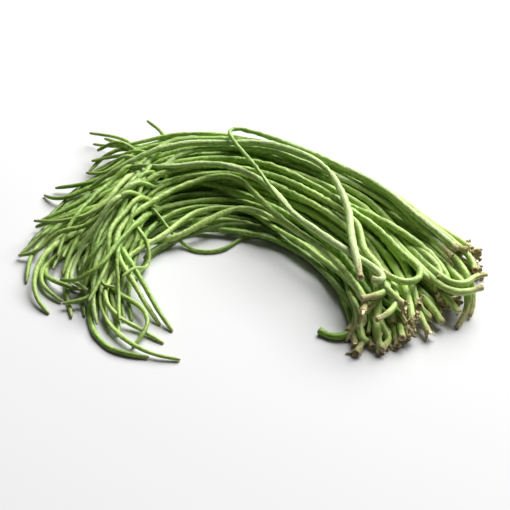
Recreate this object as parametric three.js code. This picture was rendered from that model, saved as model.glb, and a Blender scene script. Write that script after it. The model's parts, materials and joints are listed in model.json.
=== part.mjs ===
// A bunch of yardlong beans lying on a table in a bend, the stalk ends at one side and the tips fanned
// out at the other. Millimetres, +Z up. X runs from the tips to the stalk ends and the bend bulges to +Y.
//
// Each pod is one solid. Its route is laid out on the table plan, the whole pile is then let down until
// every pod rests on its neighbours or on the table, and the pod is turned as a straight spindle and bent
// along the centre line that it came to rest in.
import * as THREE from "three";

// ---- the pod ----
const POD_RADIUS = 3.25; // a full pod, halfway along
const BASE_RADIUS = 3.1; // where the pod leaves its stalk
const STALK_RADIUS = 2.7;
const STALK_LENGTH = 9;
const SHOULDER_LENGTH = 5; // over which the stalk swells into the pod
const BASE_LENGTH = 40; // over which the pod fills out from its base
const TAPER_LENGTH = 110; // over which most pods thin towards the tip
const TIP_RADIUS = 2.1;
const BEAK_LENGTH = 8; // the pointed end of the tip
const BEAK_RADIUS = 1.2;
const SIDES = 6;

// ---- how finely a pod is divided ----
const SHORTEST_STEP = 6;
const LONGEST_STEP = 33;
const SAGITTA = 0.9; // how far the middle of a step may lie off the true curve
const SAMPLE_STEP = 2;

// ---- the pile ----
const CLEARANCE = 0.3; // between neighbours
const ROUNDS = 300;
const CLOSING_ROUNDS = 160; // the last ones, without weight, that only part what still touches
const SINK = 0.16; // how far weight carries a free pod down in one round
const HOLD = 0.012; // share of its way back to its route that a pod takes in one round
const LOFT = 0.03; // the same for its height, in the crown, where crossed pods hold each other up
const STIFFNESS = 0.35;
const HEAVE_KEPT = 0.3; // share of a drawn up-and-down bend that the pod keeps as its own
const LIMP_FROM = 0.2; // share of the closing rounds left when pods stop springing back
const OWN_GAP = 5; // a pod can touch itself only this many stretches away
const LIST_AGE = 8; // rounds that a list of neighbours serves
const REACH = 3; // how much further than touching a neighbour may be and still be listed

// Sections across the bunch, from the stalk ends to the tips: the inner and the outer edge of the bend,
// and how high the pile stands there as a share of its height at the crown.
const SECTIONS = [
  { inner: [97, -146], outer: [216, -23], height: 0.85 },
  { inner: [89, -92], outer: [180, 7], height: 0.95 },
  { inner: [76, -46], outer: [133, 67], height: 1.0 },
  { inner: [43, -2], outer: [63, 119], height: 1.0 },
  { inner: [-9, 23], outer: [-8, 161], height: 1.0 },
  { inner: [-63, 28], outer: [-75, 170], height: 0.95 },
  { inner: [-104, 7], outer: [-132, 156], height: 0.8 },
  { inner: [-128, -34], outer: [-177, 124], height: 0.5 },
  { inner: [-134, -74], outer: [-208, 80], height: 0.2 },
  { inner: [-122, -112], outer: [-226, 34], height: 0.05 },
];

// ---- the view in which some tips are placed ----
const VIEW_TILT = (40 * Math.PI) / 180; // above the table, from the front
const VIEW_DISTANCE = 1100;
const VIEW_CENTRE = [255, 253]; // across and down, where the origin is seen

// Pods drawn by hand, in three ways that can be joined: stalk points and tip points are plan positions
// [x, y] or [x, y, z], and lanes are [section, lane] pairs, where lane 0 runs along the inner edge and
// lane 1 along the outer edge. Level is the height of the pod in the pile before it is let down. Size is
// its thickness against a full pod, and taper the length over which it thins towards its tip. A tip that
// is placed in the view has points [across, down, z].
const INNER_PODS = [
  { level: 0, stalk: [[63, -116], [73, -120], [85, -121], [96, -112], [95, -96]],
    lanes: [[2, 0.02], [5, 0.0]], tip: [[-90, 5], [-103, -6], [-109, -25], [-115, -40], [-134, -58]] },
  { level: 2, stalk: [[108, -136], [104, -114], [98, -80], [81, -42], [58, -11], [32, 12], [7, 25]],
    size: 0.85, taper: 340,
    tip: [[-12, 23, 3], [-20, 14, 3], [-30, 4, 3], [-44, -1, 3], [-60, 0, 3], [-73, 7, 6], [-87, 18, 14],
      [-99, 31, 21], [-111, 43, 27]] },
  { level: 6, stalk: [[90, -134, 4], [91, -120, 5], [94, -106, 7]],
    lanes: [[1.2, 0.05], [2, 0.09], [4, 0.1], [6, 0.16]],
    tip: [[-130, -12], [-137, -40], [-138, -62], [-133, -85], [-127, -102], [-125, -118]] },
  { level: 4, stalk: [[87, -121, 8], [95, -113, 9], [99, -98]],
    lanes: [[1.2, 0.12], [2, 0.16], [3, 0.18]],
    tip: [[10, 34, 20], [-12, 45, 22], [-31, 41, 20], [-53, 28, 16], [-76, 12, 9], [-92, 6, 8],
      [-109, 5, 9], [-130, 2, 9], [-152, 4], [-172, -8], [-182, -30], [-182, -50], [-178, -70],
      [-171, -96]] },
  { level: 13, stalk: [[101, -124, 8], [101, -104, 12], [94, -77], [79, -47], [62, -24], [42, 1]],
    tip: [[20, 24], [5, 44], [-15, 56], [-35, 57], [-52, 51], [-67, 39], [-80, 23], [-92, 10], [-110, -5],
      [-128, -25], [-139, -50], [-143, -76], [-134, -94], [-118, -105], [-87, -128]], size: 0.85 },
  { level: 11, lanes: [[0, 0.16], [2, 0.22], [4, 0.3], [5, 0.28], [6, 0.22], [6.8, 0.12]],
    tip: [[-139, -50], [-133, -66], [-114, -80], [-101, -99], [-99, -113], [-104, -125], [-111, -135]],
    size: 0.85 },
  { level: 9, lanes: [[0.1, 0.24], [2, 0.27], [4, 0.38], [5, 0.37], [6, 0.3]],
    tip: [[-128, -2], [-138, -30], [-144, -60], [-141, -86], [-131, -109], [-115, -130], [-92, -145],
      [-66, -151]], size: 0.85 },
  { level: 31, stalk: [[97, -118], [100, -104], [96, -91], [84, -66], [66, -38], [48, -14]],
    tip: [[30, 6], [14, 30], [0, 54], [-16, 78], [-35, 88], [-52, 84], [-70, 74], [-88, 62], [-107, 41],
      [-123, 21], [-133, -2], [-131, -28], [-116, -58], [-102, -84], [-88, -105]] },
  { level: 14, stalk: [[128, -127, 5], [127, -112, 9], [116, -92]],
    lanes: [[1.2, 0.2], [2, 0.2], [3, 0.22]], size: 0.9,
    tip: fromView([[255, 201, 22], [240, 195, 24], [217, 187, 25], [187, 183, 25], [160, 192, 22],
      [140, 208, 16], [128, 235, 10], [120, 265, 6], [117, 300, 4]]) },
  { level: 10, stalk: [[137, -123, 12], [134, -108, 15], [122, -88]],
    lanes: [[1.2, 0.24], [2, 0.24], [3, 0.26]], size: 0.9,
    tip: fromView([[247, 208, 14], [213, 203, 14], [180, 212, 13], [150, 232, 10], [133, 262, 7],
      [128, 295, 4], [131, 318, 3]]) },
];

const FAN_PODS = [
  { level: 12, lanes: [[-0.35, 0.24], [1, 0.36], [2, 0.4], [4, 0.5], [6, 0.42]],
    tip: [[-140, 18], [-148, -12], [-154, -48], [-153, -84], [-147, -112], [-134, -132], [-116, -143],
      [-95, -148]] },
  { level: 15, stalk: [[111, -132, 5], [110, -119, 9]],
    lanes: [[0.4, 0.18], [1, 0.28], [2, 0.35], [4, 0.45], [6, 0.5]],
    tip: [[-150, 38], [-166, 18], [-180, 0], [-196, -8], [-207, -18], [-207, -32], [-198, -45],
      [-183, -55], [-166, -60]] },
  { level: 18, lanes: [[-0.3, 0.34], [1, 0.47], [2, 0.5], [4, 0.55], [6, 0.52]],
    tip: [[-152, 46], [-172, 28], [-190, 6], [-204, -18], [-211, -42], [-210, -62], [-203, -78],
      [-193, -90]] },
  { level: 16, lanes: [[-0.3, 0.58], [2, 0.58], [4, 0.62], [6, 0.58]],
    tip: [[-160, 58], [-186, 40], [-205, 20], [-217, -2], [-222, -22], [-222, -48]] },
  { level: 20, lanes: [[-0.15, 0.66], [2, 0.66], [4, 0.66], [6, 0.63]],
    tip: [[-160, 66], [-186, 48], [-208, 26], [-222, 8], [-234, -6]] },
  { level: 22, lanes: [[-0.15, 0.42], [1, 0.55], [2, 0.6], [4, 0.7], [6, 0.7]],
    tip: [[-158, 92], [-176, 78], [-196, 60], [-220, 43]] },
  { level: 19, lanes: [[-0.2, 0.74], [2, 0.74], [4, 0.78], [6, 0.74]],
    tip: [[-156, 98], [-174, 92], [-188, 84], [-201, 80], [-213, 83], [-224, 93]] },
  { level: 24, lanes: [[0, 0.84], [2, 0.82], [4, 0.84], [6, 0.8]],
    tip: [[-152, 116], [-168, 107], [-186, 102], [-213, 101]] },
  { level: 20, lanes: [[0.2, 0.9], [2, 0.9], [4, 0.92], [6, 0.95]],
    tip: [[-140, 148], [-154, 140], [-173, 128]] },
  { level: 22, lanes: [[0.1, 0.98], [2, 0.96], [4, 0.96], [6, 0.98]],
    tip: [[-142, 158], [-158, 154], [-170, 143], [-180, 128]] },
  { level: 22, lanes: [[0, 1.0], [2, 1.0], [4, 1.0], [6, 1.0]],
    tip: [[-142, 170], [-157, 180], [-185, 194]], size: 0.8 },
  { level: 33, lanes: [[0.1, 0.94], [2, 0.92], [4, 0.95], [6, 0.97]],
    tip: [[-142, 150], [-158, 154], [-178, 163]], size: 0.85 },
  { level: 28, lanes: [[0.1, 0.86], [2, 0.95], [4, 0.97], [5.4, 0.99]],
    tip: [[-104, 176], [-112, 188], [-121, 200]], size: 0.85 },
  { level: 27, lanes: [[0, 0.8], [2, 0.84], [4, 0.9], [6, 0.92]],
    tip: [[-136, 151], [-149, 162], [-167, 177]], size: 0.9 },
  { level: 10, lanes: [[-0.1, 0.5], [2, 0.54], [4, 0.58], [6, 0.55]],
    tip: [[-156, 48], [-178, 26], [-194, 0], [-203, -25], [-205, -48]] },
  { level: 17, stalk: [[158, -120, 6], [154, -106, 12], [144, -86]],
    lanes: [[1, 0.4], [2, 0.44], [4, 0.5], [6, 0.34]],
    tip: fromView([[110, 215, 18], [98, 240, 12], [88, 265, 6], [84, 285, 4]]) },
  { level: 21, stalk: [[187, -101, 14], [179, -88, 20], [166, -70]],
    lanes: [[1, 0.62], [2, 0.6], [4, 0.56], [6, 0.44]],
    tip: fromView([[105, 200, 20], [88, 222, 14], [75, 245, 8], [66, 272, 4]]) },
];

const CROWN_PODS = [
  { level: 24, stalk: [[187, -107, 3], [194, -97, 6], [198, -84], [193, -68]],
    lanes: [[1, 0.8], [2, 0.76], [4, 0.72], [6, 0.66]],
    tip: [[-146, 66], [-166, 52], [-190, 38], [-221, 35]] },
  { level: 26, stalk: [[200, -94, 4], [203, -82, 8], [200, -68]],
    lanes: [[1, 0.9], [2, 0.86], [4, 0.8], [6, 0.62]],
    tip: [[-144, 54], [-164, 42], [-190, 30], [-220, 24]] },
  { level: 30, stalk: [[211, -82], [198, -88], [185, -88], [174, -80], [162, -62], [148, -40]],
    lanes: [[2, 0.66], [4, 0.68], [6, 0.6]],
    tip: [[-144, 42], [-163, 30], [-184, 20], [-204, 12]] },
  { level: 32,
    stalk: [[217, -64], [206, -66], [197, -78], [185, -82], [175, -74], [163, -58], [150, -34]],
    lanes: [[2, 0.74], [4, 0.76], [6, 0.7]],
    tip: [[-142, 72], [-154, 67], [-166, 60], [-176, 49], [-181, 37]] },
  { level: 31, stalk: [[180, -82], [178, -66], [171, -50], [158, -30]],
    lanes: [[2, 0.58], [4, 0.6], [6, 0.56]],
    tip: [[-146, 48], [-156, 34], [-163, 18], [-168, 4]] },
  { level: 33, stalk: [[207, -63], [206, -46], [197, -28]],
    lanes: [[1.2, 0.93], [2, 0.88], [4, 0.86], [6, 0.86]],
    tip: [[-146, 118], [-160, 108], [-180, 116]], size: 0.9 },
  { level: 34, stalk: [[97, -106], [110, -101], [122, -92], [124, -80], [117, -60], [106, -38]],
    lanes: [[2, 0.42], [4, 0.56], [6, 0.4]],
    tip: [[-136, 28], [-140, 4], [-132, -24], [-118, -48], [-104, -70], [-92, -92], [-76, -113]] },
  { level: 30, stalk: [[108, -128], [120, -119], [128, -105], [129, -88], [122, -68], [112, -46]],
    lanes: [[2, 0.34], [4, 0.48], [6, 0.34]],
    tip: [[-136, 12], [-145, -12], [-150, -36], [-148, -58], [-143, -69], [-136, -68]], size: 0.9 },
  { level: 36,
    stalk: [[118, -75], [130, -82], [143, -82], [152, -76], [154, -65], [147, -52], [136, -36]],
    lanes: [[2, 0.5], [4, 0.64], [6, 0.46]],
    tip: [[-140, 30], [-147, 6], [-150, -20], [-150, -44], [-160, -58], [-178, -57]], size: 0.95 },
];

const CROSSING_PODS = [
  { level: 37, lanes: [[0, 0.88], [2, 0.8]], tip: [[60, 92], [30, 110], [0, 120], [-30, 127], [-60, 124],
    [-85, 116], [-103, 99], [-114, 79], [-122, 58], [-130, 36], [-137, 12], [-143, -14], [-149, -44],
    [-152, -76], [-149, -108]], size: 1.08 },
  { level: 38, lanes: [[0.1, 0.78], [2, 0.88], [3, 0.92]], tip: [[30, 128], [0, 136], [-40, 142],
    [-75, 142], [-97, 135], [-110, 118], [-119, 98], [-129, 75], [-142, 52], [-152, 24], [-157, -4],
    [-155, -34], [-150, -58], [-157, -74], [-178, -80]], size: 1.05 },
  { level: 42, stalk: [[107, -88], [117, -91], [117, -82], [98, -58]],
    tip: [[74, -36], [50, -8], [32, 18], [17, 48], [0, 70], [-25, 85], [-60, 90], [-95, 86], [-118, 93],
      [-134, 101]] },
  { level: 46, stalk: [[96, -91], [94, -66], [92, -28], [90, 8], [86, 40], [77, 68], [62, 90]],
    tip: [[38, 108], [8, 122], [-25, 127], [-62, 126], [-95, 118], [-124, 102], [-150, 90], [-172, 84]],
    size: 1.08 },
  { level: 43, lanes: [[0.1, 0.82], [2, 0.84]], tip: [[78, 93], [48, 115], [16, 137], [-6, 145, 49],
    [-18, 147, 50], [-26, 143, 50], [-27, 135, 50], [-22, 119, 51], [-12, 97, 53], [0, 71, 55],
    [8, 53, 55], [17, 34, 55], [26, 16, 54], [34, 4, 50]], size: 0.9, taper: 330 },
];

// Pods inside the pile, which lie in even layers: how many, their height, the lanes that they fill, how
// far along the bunch they start and end, in sections, and how far they draw back from the inner edge
// halfway.
const LAYERS = [
  { name: "table_pod", count: 11, level: 0, from: 0.17, to: 0.98, start: -0.14, end: 8.6, hollow: 0.08 },
  { name: "heart_pod", count: 8, level: 8, from: 0.25, to: 0.96, start: -0.08, end: 8.4, hollow: 0.12 },
];
const LANE_DRIFT = 0.07; // how far a pod of a layer wanders off its lane, as a share of the width
const START_SPREAD = 0.3; // in sections, how unevenly the stalk ends of a layer are bundled
const END_SPREAD = 1.8; // the same for the tips
const LANE_STEP = 0.8; // in sections, between the points that a lane gives a route

// Plan points, to the millimetre, of places in the view: [across, down, z] becomes [x, y, z].
function fromView(places) {
  const rise = Math.sin(VIEW_TILT);
  const run = Math.cos(VIEW_TILT);
  return places.map(([across, down, z]) => {
    const slant = (VIEW_CENTRE[1] - down) / VIEW_DISTANCE;
    const y = (slant * (VIEW_DISTANCE - z * rise) - z * run) / (rise - slant * run);
    const away = VIEW_DISTANCE + y * run - z * rise;
    return [Math.round(((across - VIEW_CENTRE[0]) * away) / VIEW_DISTANCE), Math.round(y), z];
  });
}

function randomNumbers(seed) {
  let state = seed;
  return () => {
    state = (state * 1664525 + 1013904223) % 4294967296;
    return state / 4294967296;
  };
}

function mix(a, b, t) {
  return a + (b - a) * t;
}

function smooth(t) {
  const u = Math.min(Math.max(t, 0), 1);
  return u * u * (3 - 2 * u);
}

// The plan position and the height share at a section number, which may lie between or beyond sections.
function acrossBunch(section, lane) {
  const last = SECTIONS.length - 2;
  const i = Math.min(Math.max(Math.floor(section), 0), last);
  const t = section - i;
  const [a, b] = [SECTIONS[i], SECTIONS[i + 1]];
  const place = (s, axis) => mix(s.inner[axis], s.outer[axis], lane);
  return {
    x: mix(place(a, 0), place(b, 0), t),
    y: mix(place(a, 1), place(b, 1), t),
    share: Math.max(mix(a.height, b.height, t), 0),
  };
}

// The nearest section to a plan position, which tells how high the pile is there.
function heightShare(x, y) {
  let best = { distance: Infinity, share: 1 };
  for (let section = 0; section < SECTIONS.length; section += 0.5) {
    for (const lane of [0, 0.5, 1]) {
      const p = acrossBunch(section, lane);
      const distance = Math.hypot(p.x - x, p.y - y);
      if (distance < best.distance) best = { distance, share: p.share };
    }
  }
  return best.share;
}

function lanePoints(lanes) {
  const [first, last] = [lanes[0][0], lanes[lanes.length - 1][0]];
  const steps = Math.max(Math.round((last - first) / LANE_STEP), 1);
  const points = [];
  for (let k = 0; k <= steps; k++) {
    const section = mix(first, last, k / steps);
    const after = Math.max(lanes.findIndex((pair) => pair[0] >= section - 1e-9), 1);
    const [a, b] = [lanes[after - 1], lanes[after]];
    const lane = mix(a[1], b[1], (section - a[0]) / (b[0] - a[0]));
    const p = acrossBunch(section, lane);
    points.push([p.x, p.y]);
  }
  return points;
}

function routeOf(pod) {
  const plan = [...(pod.stalk ?? []), ...(pod.lanes ? lanePoints(pod.lanes) : []), ...(pod.tip ?? [])];
  const size = pod.size ?? 1;
  const points = plan.map(([x, y, z]) => {
    const height = z ?? POD_RADIUS * size + pod.level * heightShare(x, y);
    return new THREE.Vector3(x, y, height);
  });
  return new THREE.CatmullRomCurve3(points, false, "centripetal");
}

function layerPods(layer, random) {
  const pods = [];
  for (let k = 0; k < layer.count; k++) {
    const place = k / (layer.count - 1);
    const lane = mix(layer.from, layer.to, place);
    const drift = () => (random() - 0.5) * 2 * LANE_DRIFT * Math.min(1, lane * 4);
    const drawnBack = (t) => layer.hollow * (1 - place) * 4 * t * (1 - t);
    const start = layer.start + (random() - 0.5) * START_SPREAD;
    const end = layer.end + (random() - 0.5) * END_SPREAD;
    const lanes = [0, 0.25, 0.5, 0.75, 1].map((t) => [mix(start, end, t), lane + drawnBack(t) + drift()]);
    pods.push({ level: layer.level, lanes, size: 0.9 + 0.12 * random() });
  }
  return pods;
}

// Pod radius at a distance from the stalk end.
function radiusAt(distance, length, pod) {
  const size = pod.size ?? 1;
  const filling = smooth((distance - STALK_LENGTH) / BASE_LENGTH);
  const thinning = smooth((length - distance) / (pod.taper ?? TAPER_LENGTH));
  const beak = mix(BEAK_RADIUS / TIP_RADIUS, 1, Math.min((length - distance) / BEAK_LENGTH, 1));
  const body = Math.min(mix(BASE_RADIUS, POD_RADIUS, filling), mix(TIP_RADIUS, POD_RADIUS, thinning));
  const shoulder = smooth((distance - STALK_LENGTH) / SHOULDER_LENGTH + 1);
  return mix(STALK_RADIUS * Math.sqrt(size), body * beak * size, shoulder);
}

// Distances along a route at which the pod gets a ring, close together where it bends.
function ringDistances(route) {
  const length = route.getLength();
  const count = Math.ceil(length / SAMPLE_STEP);
  route.arcLengthDivisions = count * 2;
  route.updateArcLengths();
  const tangents = [];
  for (let k = 0; k <= count; k++) tangents.push(route.getTangentAt(k / count));
  const curvature = (distance) => {
    const k = Math.min(Math.max(Math.round((distance / length) * count), 2), count - 2);
    return tangents[k - 2].angleTo(tangents[k + 2]) / ((4 * length) / count);
  };
  const stepAt = (distance) => {
    const bend = Math.max(curvature(distance), 1e-6);
    const step = Math.sqrt((8 * SAGITTA) / bend);
    return Math.min(Math.max(step, SHORTEST_STEP), LONGEST_STEP);
  };
  const distances = [0, STALK_LENGTH - 4, STALK_LENGTH + 2];
  const lastFree = length - BEAK_LENGTH - SHORTEST_STEP;
  let distance = STALK_LENGTH + 2 + stepAt(STALK_LENGTH + 10) * 0.7;
  while (distance < lastFree) {
    distances.push(distance);
    distance += Math.min(stepAt(distance), stepAt(Math.min(distance + 14, length)));
  }
  distances.push(length - BEAK_LENGTH, length);
  return distances;
}

function podFromRoute(name, pod) {
  const route = routeOf(pod);
  const distances = ringDistances(route);
  const length = route.getLength();
  return {
    name,
    points: distances.map((d) => route.getPointAt(Math.min(d / length, 1))),
    radii: distances.map((d) => radiusAt(d, length, pod)),
    distances,
  };
}

// ---- letting the pile down ----

// The nearest points of two straight stretches p + s u and q + t v, as the shares s and t.
function nearestShares(p, u, q, v) {
  const a = u.dot(u);
  const b = u.dot(v);
  const c = v.dot(v);
  const wx = p.x - q.x;
  const wy = p.y - q.y;
  const wz = p.z - q.z;
  const d = u.x * wx + u.y * wy + u.z * wz;
  const e = v.x * wx + v.y * wy + v.z * wz;
  const det = a * c - b * b;
  const limit = (n) => Math.min(Math.max(n, 0), 1);
  let s = det > 1e-9 * a * c ? limit((b * e - c * d) / det) : 0.5;
  let t = limit((b * s + e) / c);
  s = limit((b * t - d) / a);
  t = limit((b * s + e) / c);
  return [s, t];
}

function stretchesOf(pods) {
  const stretches = [];
  pods.forEach((pod, owner) => {
    for (let k = 0; k + 1 < pod.points.length; k++) {
      stretches.push({
        owner,
        index: k,
        p: pod.points[k],
        q: pod.points[k + 1],
        rp: pod.radii[k],
        rq: pod.radii[k + 1],
      });
    }
  });
  return stretches;
}

function neighbourPairs(stretches) {
  for (const s of stretches) {
    const r = Math.max(s.rp, s.rq) + (CLEARANCE + REACH) / 2;
    s.low = [Math.min(s.p.x, s.q.x) - r, Math.min(s.p.y, s.q.y) - r, Math.min(s.p.z, s.q.z) - r];
    s.high = [Math.max(s.p.x, s.q.x) + r, Math.max(s.p.y, s.q.y) + r, Math.max(s.p.z, s.q.z) + r];
  }
  const sorted = [...stretches].sort((a, b) => a.low[0] - b.low[0]);
  const pairs = [];
  for (let i = 0; i < sorted.length; i++) {
    const a = sorted[i];
    for (let j = i + 1; j < sorted.length && sorted[j].low[0] < a.high[0]; j++) {
      const b = sorted[j];
      if (a.owner === b.owner && Math.abs(a.index - b.index) < OWN_GAP) continue;
      if (a.low[1] < b.high[1] && b.low[1] < a.high[1] && a.low[2] < b.high[2] && b.low[2] < a.high[2]) {
        pairs.push([a, b]);
      }
    }
  }
  return pairs;
}

const [U, V, NORMAL] = [new THREE.Vector3(), new THREE.Vector3(), new THREE.Vector3()];

// Moves two stretches apart where they are closer than touching. Returns how far they were pressed.
function part(a, b) {
  U.subVectors(a.q, a.p);
  V.subVectors(b.q, b.p);
  const [s, t] = nearestShares(a.p, U, b.p, V);
  NORMAL.set(
    a.p.x + U.x * s - b.p.x - V.x * t,
    a.p.y + U.y * s - b.p.y - V.y * t,
    a.p.z + U.z * s - b.p.z - V.z * t,
  );
  const distance = NORMAL.length();
  const depth = mix(a.rp, a.rq, s) + mix(b.rp, b.rq, t) + CLEARANCE - distance;
  if (depth <= 0) return 0;
  if (distance < 1e-6) NORMAL.set(0, 0, 1);
  else NORMAL.multiplyScalar(1 / distance);
  const weight = (1 - s) ** 2 + s ** 2 + (1 - t) ** 2 + t ** 2;
  const push = depth / weight;
  a.p.addScaledVector(NORMAL, push * (1 - s));
  a.q.addScaledVector(NORMAL, push * s);
  b.p.addScaledVector(NORMAL, -push * (1 - t));
  b.q.addScaledVector(NORMAL, -push * t);
  return depth;
}

// A pod's own spring: each point is drawn to where its two neighbours and the pod's drawn bend put it.
function bendRest(pod) {
  return pod.points.map((point, k) => {
    if (k === 0 || k === pod.points.length - 1) return null;
    const [before, after] = [pod.points[k - 1], pod.points[k + 1]];
    const share = point.distanceTo(before) / (point.distanceTo(before) + point.distanceTo(after));
    const middle = before.clone().lerp(after, share);
    const offset = point.clone().sub(middle);
    offset.z *= HEAVE_KEPT;
    return { share, offset };
  });
}

function springBack(pod) {
  for (let k = 1; k + 1 < pod.points.length; k++) {
    const { share, offset } = pod.rest[k];
    const [before, point, after] = [pod.points[k - 1], pod.points[k], pod.points[k + 1]];
    NORMAL.copy(before).lerp(after, share).add(offset).sub(point).multiplyScalar(STIFFNESS);
    point.addScaledVector(NORMAL, 0.5);
    before.addScaledVector(NORMAL, -0.25);
    after.addScaledVector(NORMAL, -0.25);
  }
}

function keepLength(pod) {
  for (let k = 0; k + 1 < pod.points.length; k++) {
    const [a, b] = [pod.points[k], pod.points[k + 1]];
    NORMAL.subVectors(b, a);
    const distance = NORMAL.length();
    NORMAL.multiplyScalar((0.5 * (distance - pod.spans[k])) / distance);
    a.add(NORMAL);
    b.sub(NORMAL);
  }
}

function settle(pods) {
  for (const pod of pods) {
    pod.drawn = pod.points.map((p) => p.clone());
    pod.shares = pod.points.map((p) => heightShare(p.x, p.y) ** 2);
    pod.rest = bendRest(pod);
    pod.spans = pod.points.slice(1).map((p, k) => p.distanceTo(pod.points[k]));
  }
  const stretches = stretchesOf(pods);
  let pairs = [];
  let deepest = 0;
  for (let round = 0; round < ROUNDS + CLOSING_ROUNDS; round++) {
    if (round % LIST_AGE === 0) pairs = neighbourPairs(stretches);
    const closing = round >= ROUNDS;
    const ease = closing ? 1 - (round - ROUNDS) / CLOSING_ROUNDS : 1;
    for (const pod of pods) {
      pod.points.forEach((point, k) => {
        point.z -= closing ? 0 : SINK;
        point.z += (pod.drawn[k].z - point.z) * LOFT * pod.shares[k] * ease;
        point.x += (pod.drawn[k].x - point.x) * HOLD * ease;
        point.y += (pod.drawn[k].y - point.y) * HOLD * ease;
      });
      if (ease > LIMP_FROM) springBack(pod);
      keepLength(pod);
    }
    deepest = 0;
    for (const [a, b] of pairs) deepest = Math.max(deepest, part(a, b));
    for (const pod of pods) {
      pod.points.forEach((point, k) => {
        point.z = Math.max(point.z, pod.radii[k]);
      });
    }
  }
  if (deepest > CLEARANCE) throw new Error("pods still overlap by " + deepest.toFixed(2) + " mm");
}

// ---- the solids ----

// Carries a frame along the centre line without twisting it, and gives each ring's two cross axes.
function ringFrames(points) {
  const frames = [];
  let side = new THREE.Vector3(0, 0, 1);
  points.forEach((point, k) => {
    const before = points[Math.max(k - 1, 0)];
    const after = points[Math.min(k + 1, points.length - 1)];
    const into = point.clone().sub(before).normalize();
    const out = after.clone().sub(point).normalize();
    const tangent = into.add(out).normalize();
    side = side.clone().addScaledVector(tangent, -side.dot(tangent)).normalize();
    frames.push({ side, other: tangent.clone().cross(side) });
  });
  return frames;
}

// A straight spindle with the pod's radii, bent so that each ring sits on its point of the centre line.
function podGeometry(pod) {
  const { points, radii, distances } = pod;
  const last = points.length - 1;
  const profile = [new THREE.Vector2(0, distances[0])];
  radii.forEach((radius, k) => profile.push(new THREE.Vector2(radius, distances[k])));
  profile.push(new THREE.Vector2(0, distances[last]));
  const geometry = new THREE.LatheGeometry(profile, SIDES);
  const frames = ringFrames(points);
  const position = geometry.getAttribute("position");
  const vertex = new THREE.Vector3();
  for (let i = 0; i < position.count; i++) {
    const row = i % profile.length;
    const ring = Math.min(Math.max(row - 1, 0), last);
    const { side, other } = frames[ring];
    vertex.copy(points[ring]);
    vertex.addScaledVector(other, position.getX(i));
    vertex.addScaledVector(side, position.getZ(i));
    position.setXYZ(i, vertex.x, vertex.y, vertex.z);
  }
  geometry.computeVertexNormals();
  return geometry;
}

function podColour(random) {
  const hue = mix(0.23, 0.27, random());
  const saturation = mix(0.38, 0.52, random());
  return new THREE.Color().setHSL(hue, saturation, mix(0.4, 0.55, random()));
}

function drawnPods() {
  const random = randomNumbers(7);
  const pods = LAYERS.map((layer) => [layer.name, layerPods(layer, random)]);
  pods.push(["inner_pod", INNER_PODS], ["fan_pod", FAN_PODS], ["crown_pod", CROWN_PODS]);
  pods.push(["crossing_pod", CROSSING_PODS]);
  return pods.flatMap(([name, list]) =>
    list.map((pod, k) => podFromRoute(name + "_" + String(k + 1).padStart(2, "0"), pod)),
  );
}

function centred(pods) {
  const box = new THREE.Box3();
  for (const pod of pods) {
    pod.points.forEach((p, k) => box.expandByPoint(p.clone().setZ(p.z - pod.radii[k])));
  }
  return box.getCenter(new THREE.Vector3()).setZ(box.min.z).negate();
}

const pods = drawnPods();
settle(pods);

const bunch = new THREE.Group();
bunch.name = "yardlong_bean_bunch";
const tint = randomNumbers(23);
for (const pod of pods) {
  const look = { color: podColour(tint), roughness: 0.5, metalness: 0 };
  const material = new THREE.MeshStandardMaterial(look);
  const mesh = new THREE.Mesh(podGeometry(pod), material);
  mesh.name = pod.name;
  bunch.add(mesh);
}
bunch.position.copy(centred(pods));

export default bunch;
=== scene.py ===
"""The looks of a bunch of yardlong beans that lies in a bend, and the studio round it.

Lengths are in metres, in the frame's own axes: +X from the tips to the stalk ends, +Y to the outside of the
bend, +Z up. Each pod of the frame is swept along the centre line of its solid, and more pods that the frame
doesn't have are added between and over them.
"""

import json
import logging
import math
from dataclasses import dataclass, field
from enum import Enum

import bpy
import numpy as np
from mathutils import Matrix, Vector

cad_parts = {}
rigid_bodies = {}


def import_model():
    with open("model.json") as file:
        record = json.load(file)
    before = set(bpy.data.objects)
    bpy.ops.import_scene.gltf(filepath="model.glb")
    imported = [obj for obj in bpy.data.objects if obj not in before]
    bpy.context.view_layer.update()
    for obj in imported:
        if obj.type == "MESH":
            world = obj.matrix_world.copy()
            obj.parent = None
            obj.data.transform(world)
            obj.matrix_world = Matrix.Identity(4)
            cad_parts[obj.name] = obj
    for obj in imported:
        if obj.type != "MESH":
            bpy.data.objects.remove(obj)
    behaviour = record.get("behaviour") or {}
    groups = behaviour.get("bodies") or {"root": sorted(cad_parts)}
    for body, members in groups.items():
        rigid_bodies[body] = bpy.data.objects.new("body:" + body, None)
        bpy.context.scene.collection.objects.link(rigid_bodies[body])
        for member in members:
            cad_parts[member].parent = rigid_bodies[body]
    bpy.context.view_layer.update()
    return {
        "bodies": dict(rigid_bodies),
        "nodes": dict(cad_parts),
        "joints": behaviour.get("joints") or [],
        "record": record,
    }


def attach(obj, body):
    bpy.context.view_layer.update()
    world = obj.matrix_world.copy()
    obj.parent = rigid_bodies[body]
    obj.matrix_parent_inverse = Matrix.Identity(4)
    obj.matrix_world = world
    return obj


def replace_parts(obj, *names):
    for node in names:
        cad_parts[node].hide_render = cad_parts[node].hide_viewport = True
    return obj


LOG = logging.getLogger("bean_bunch")

MM = 0.001
SEED = 41
BODY = "root"

Colour = tuple[float, float, float]
Places = tuple[tuple[float, float, float], ...]


# ---------------------------------------------------------------- numbers and noise


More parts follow.
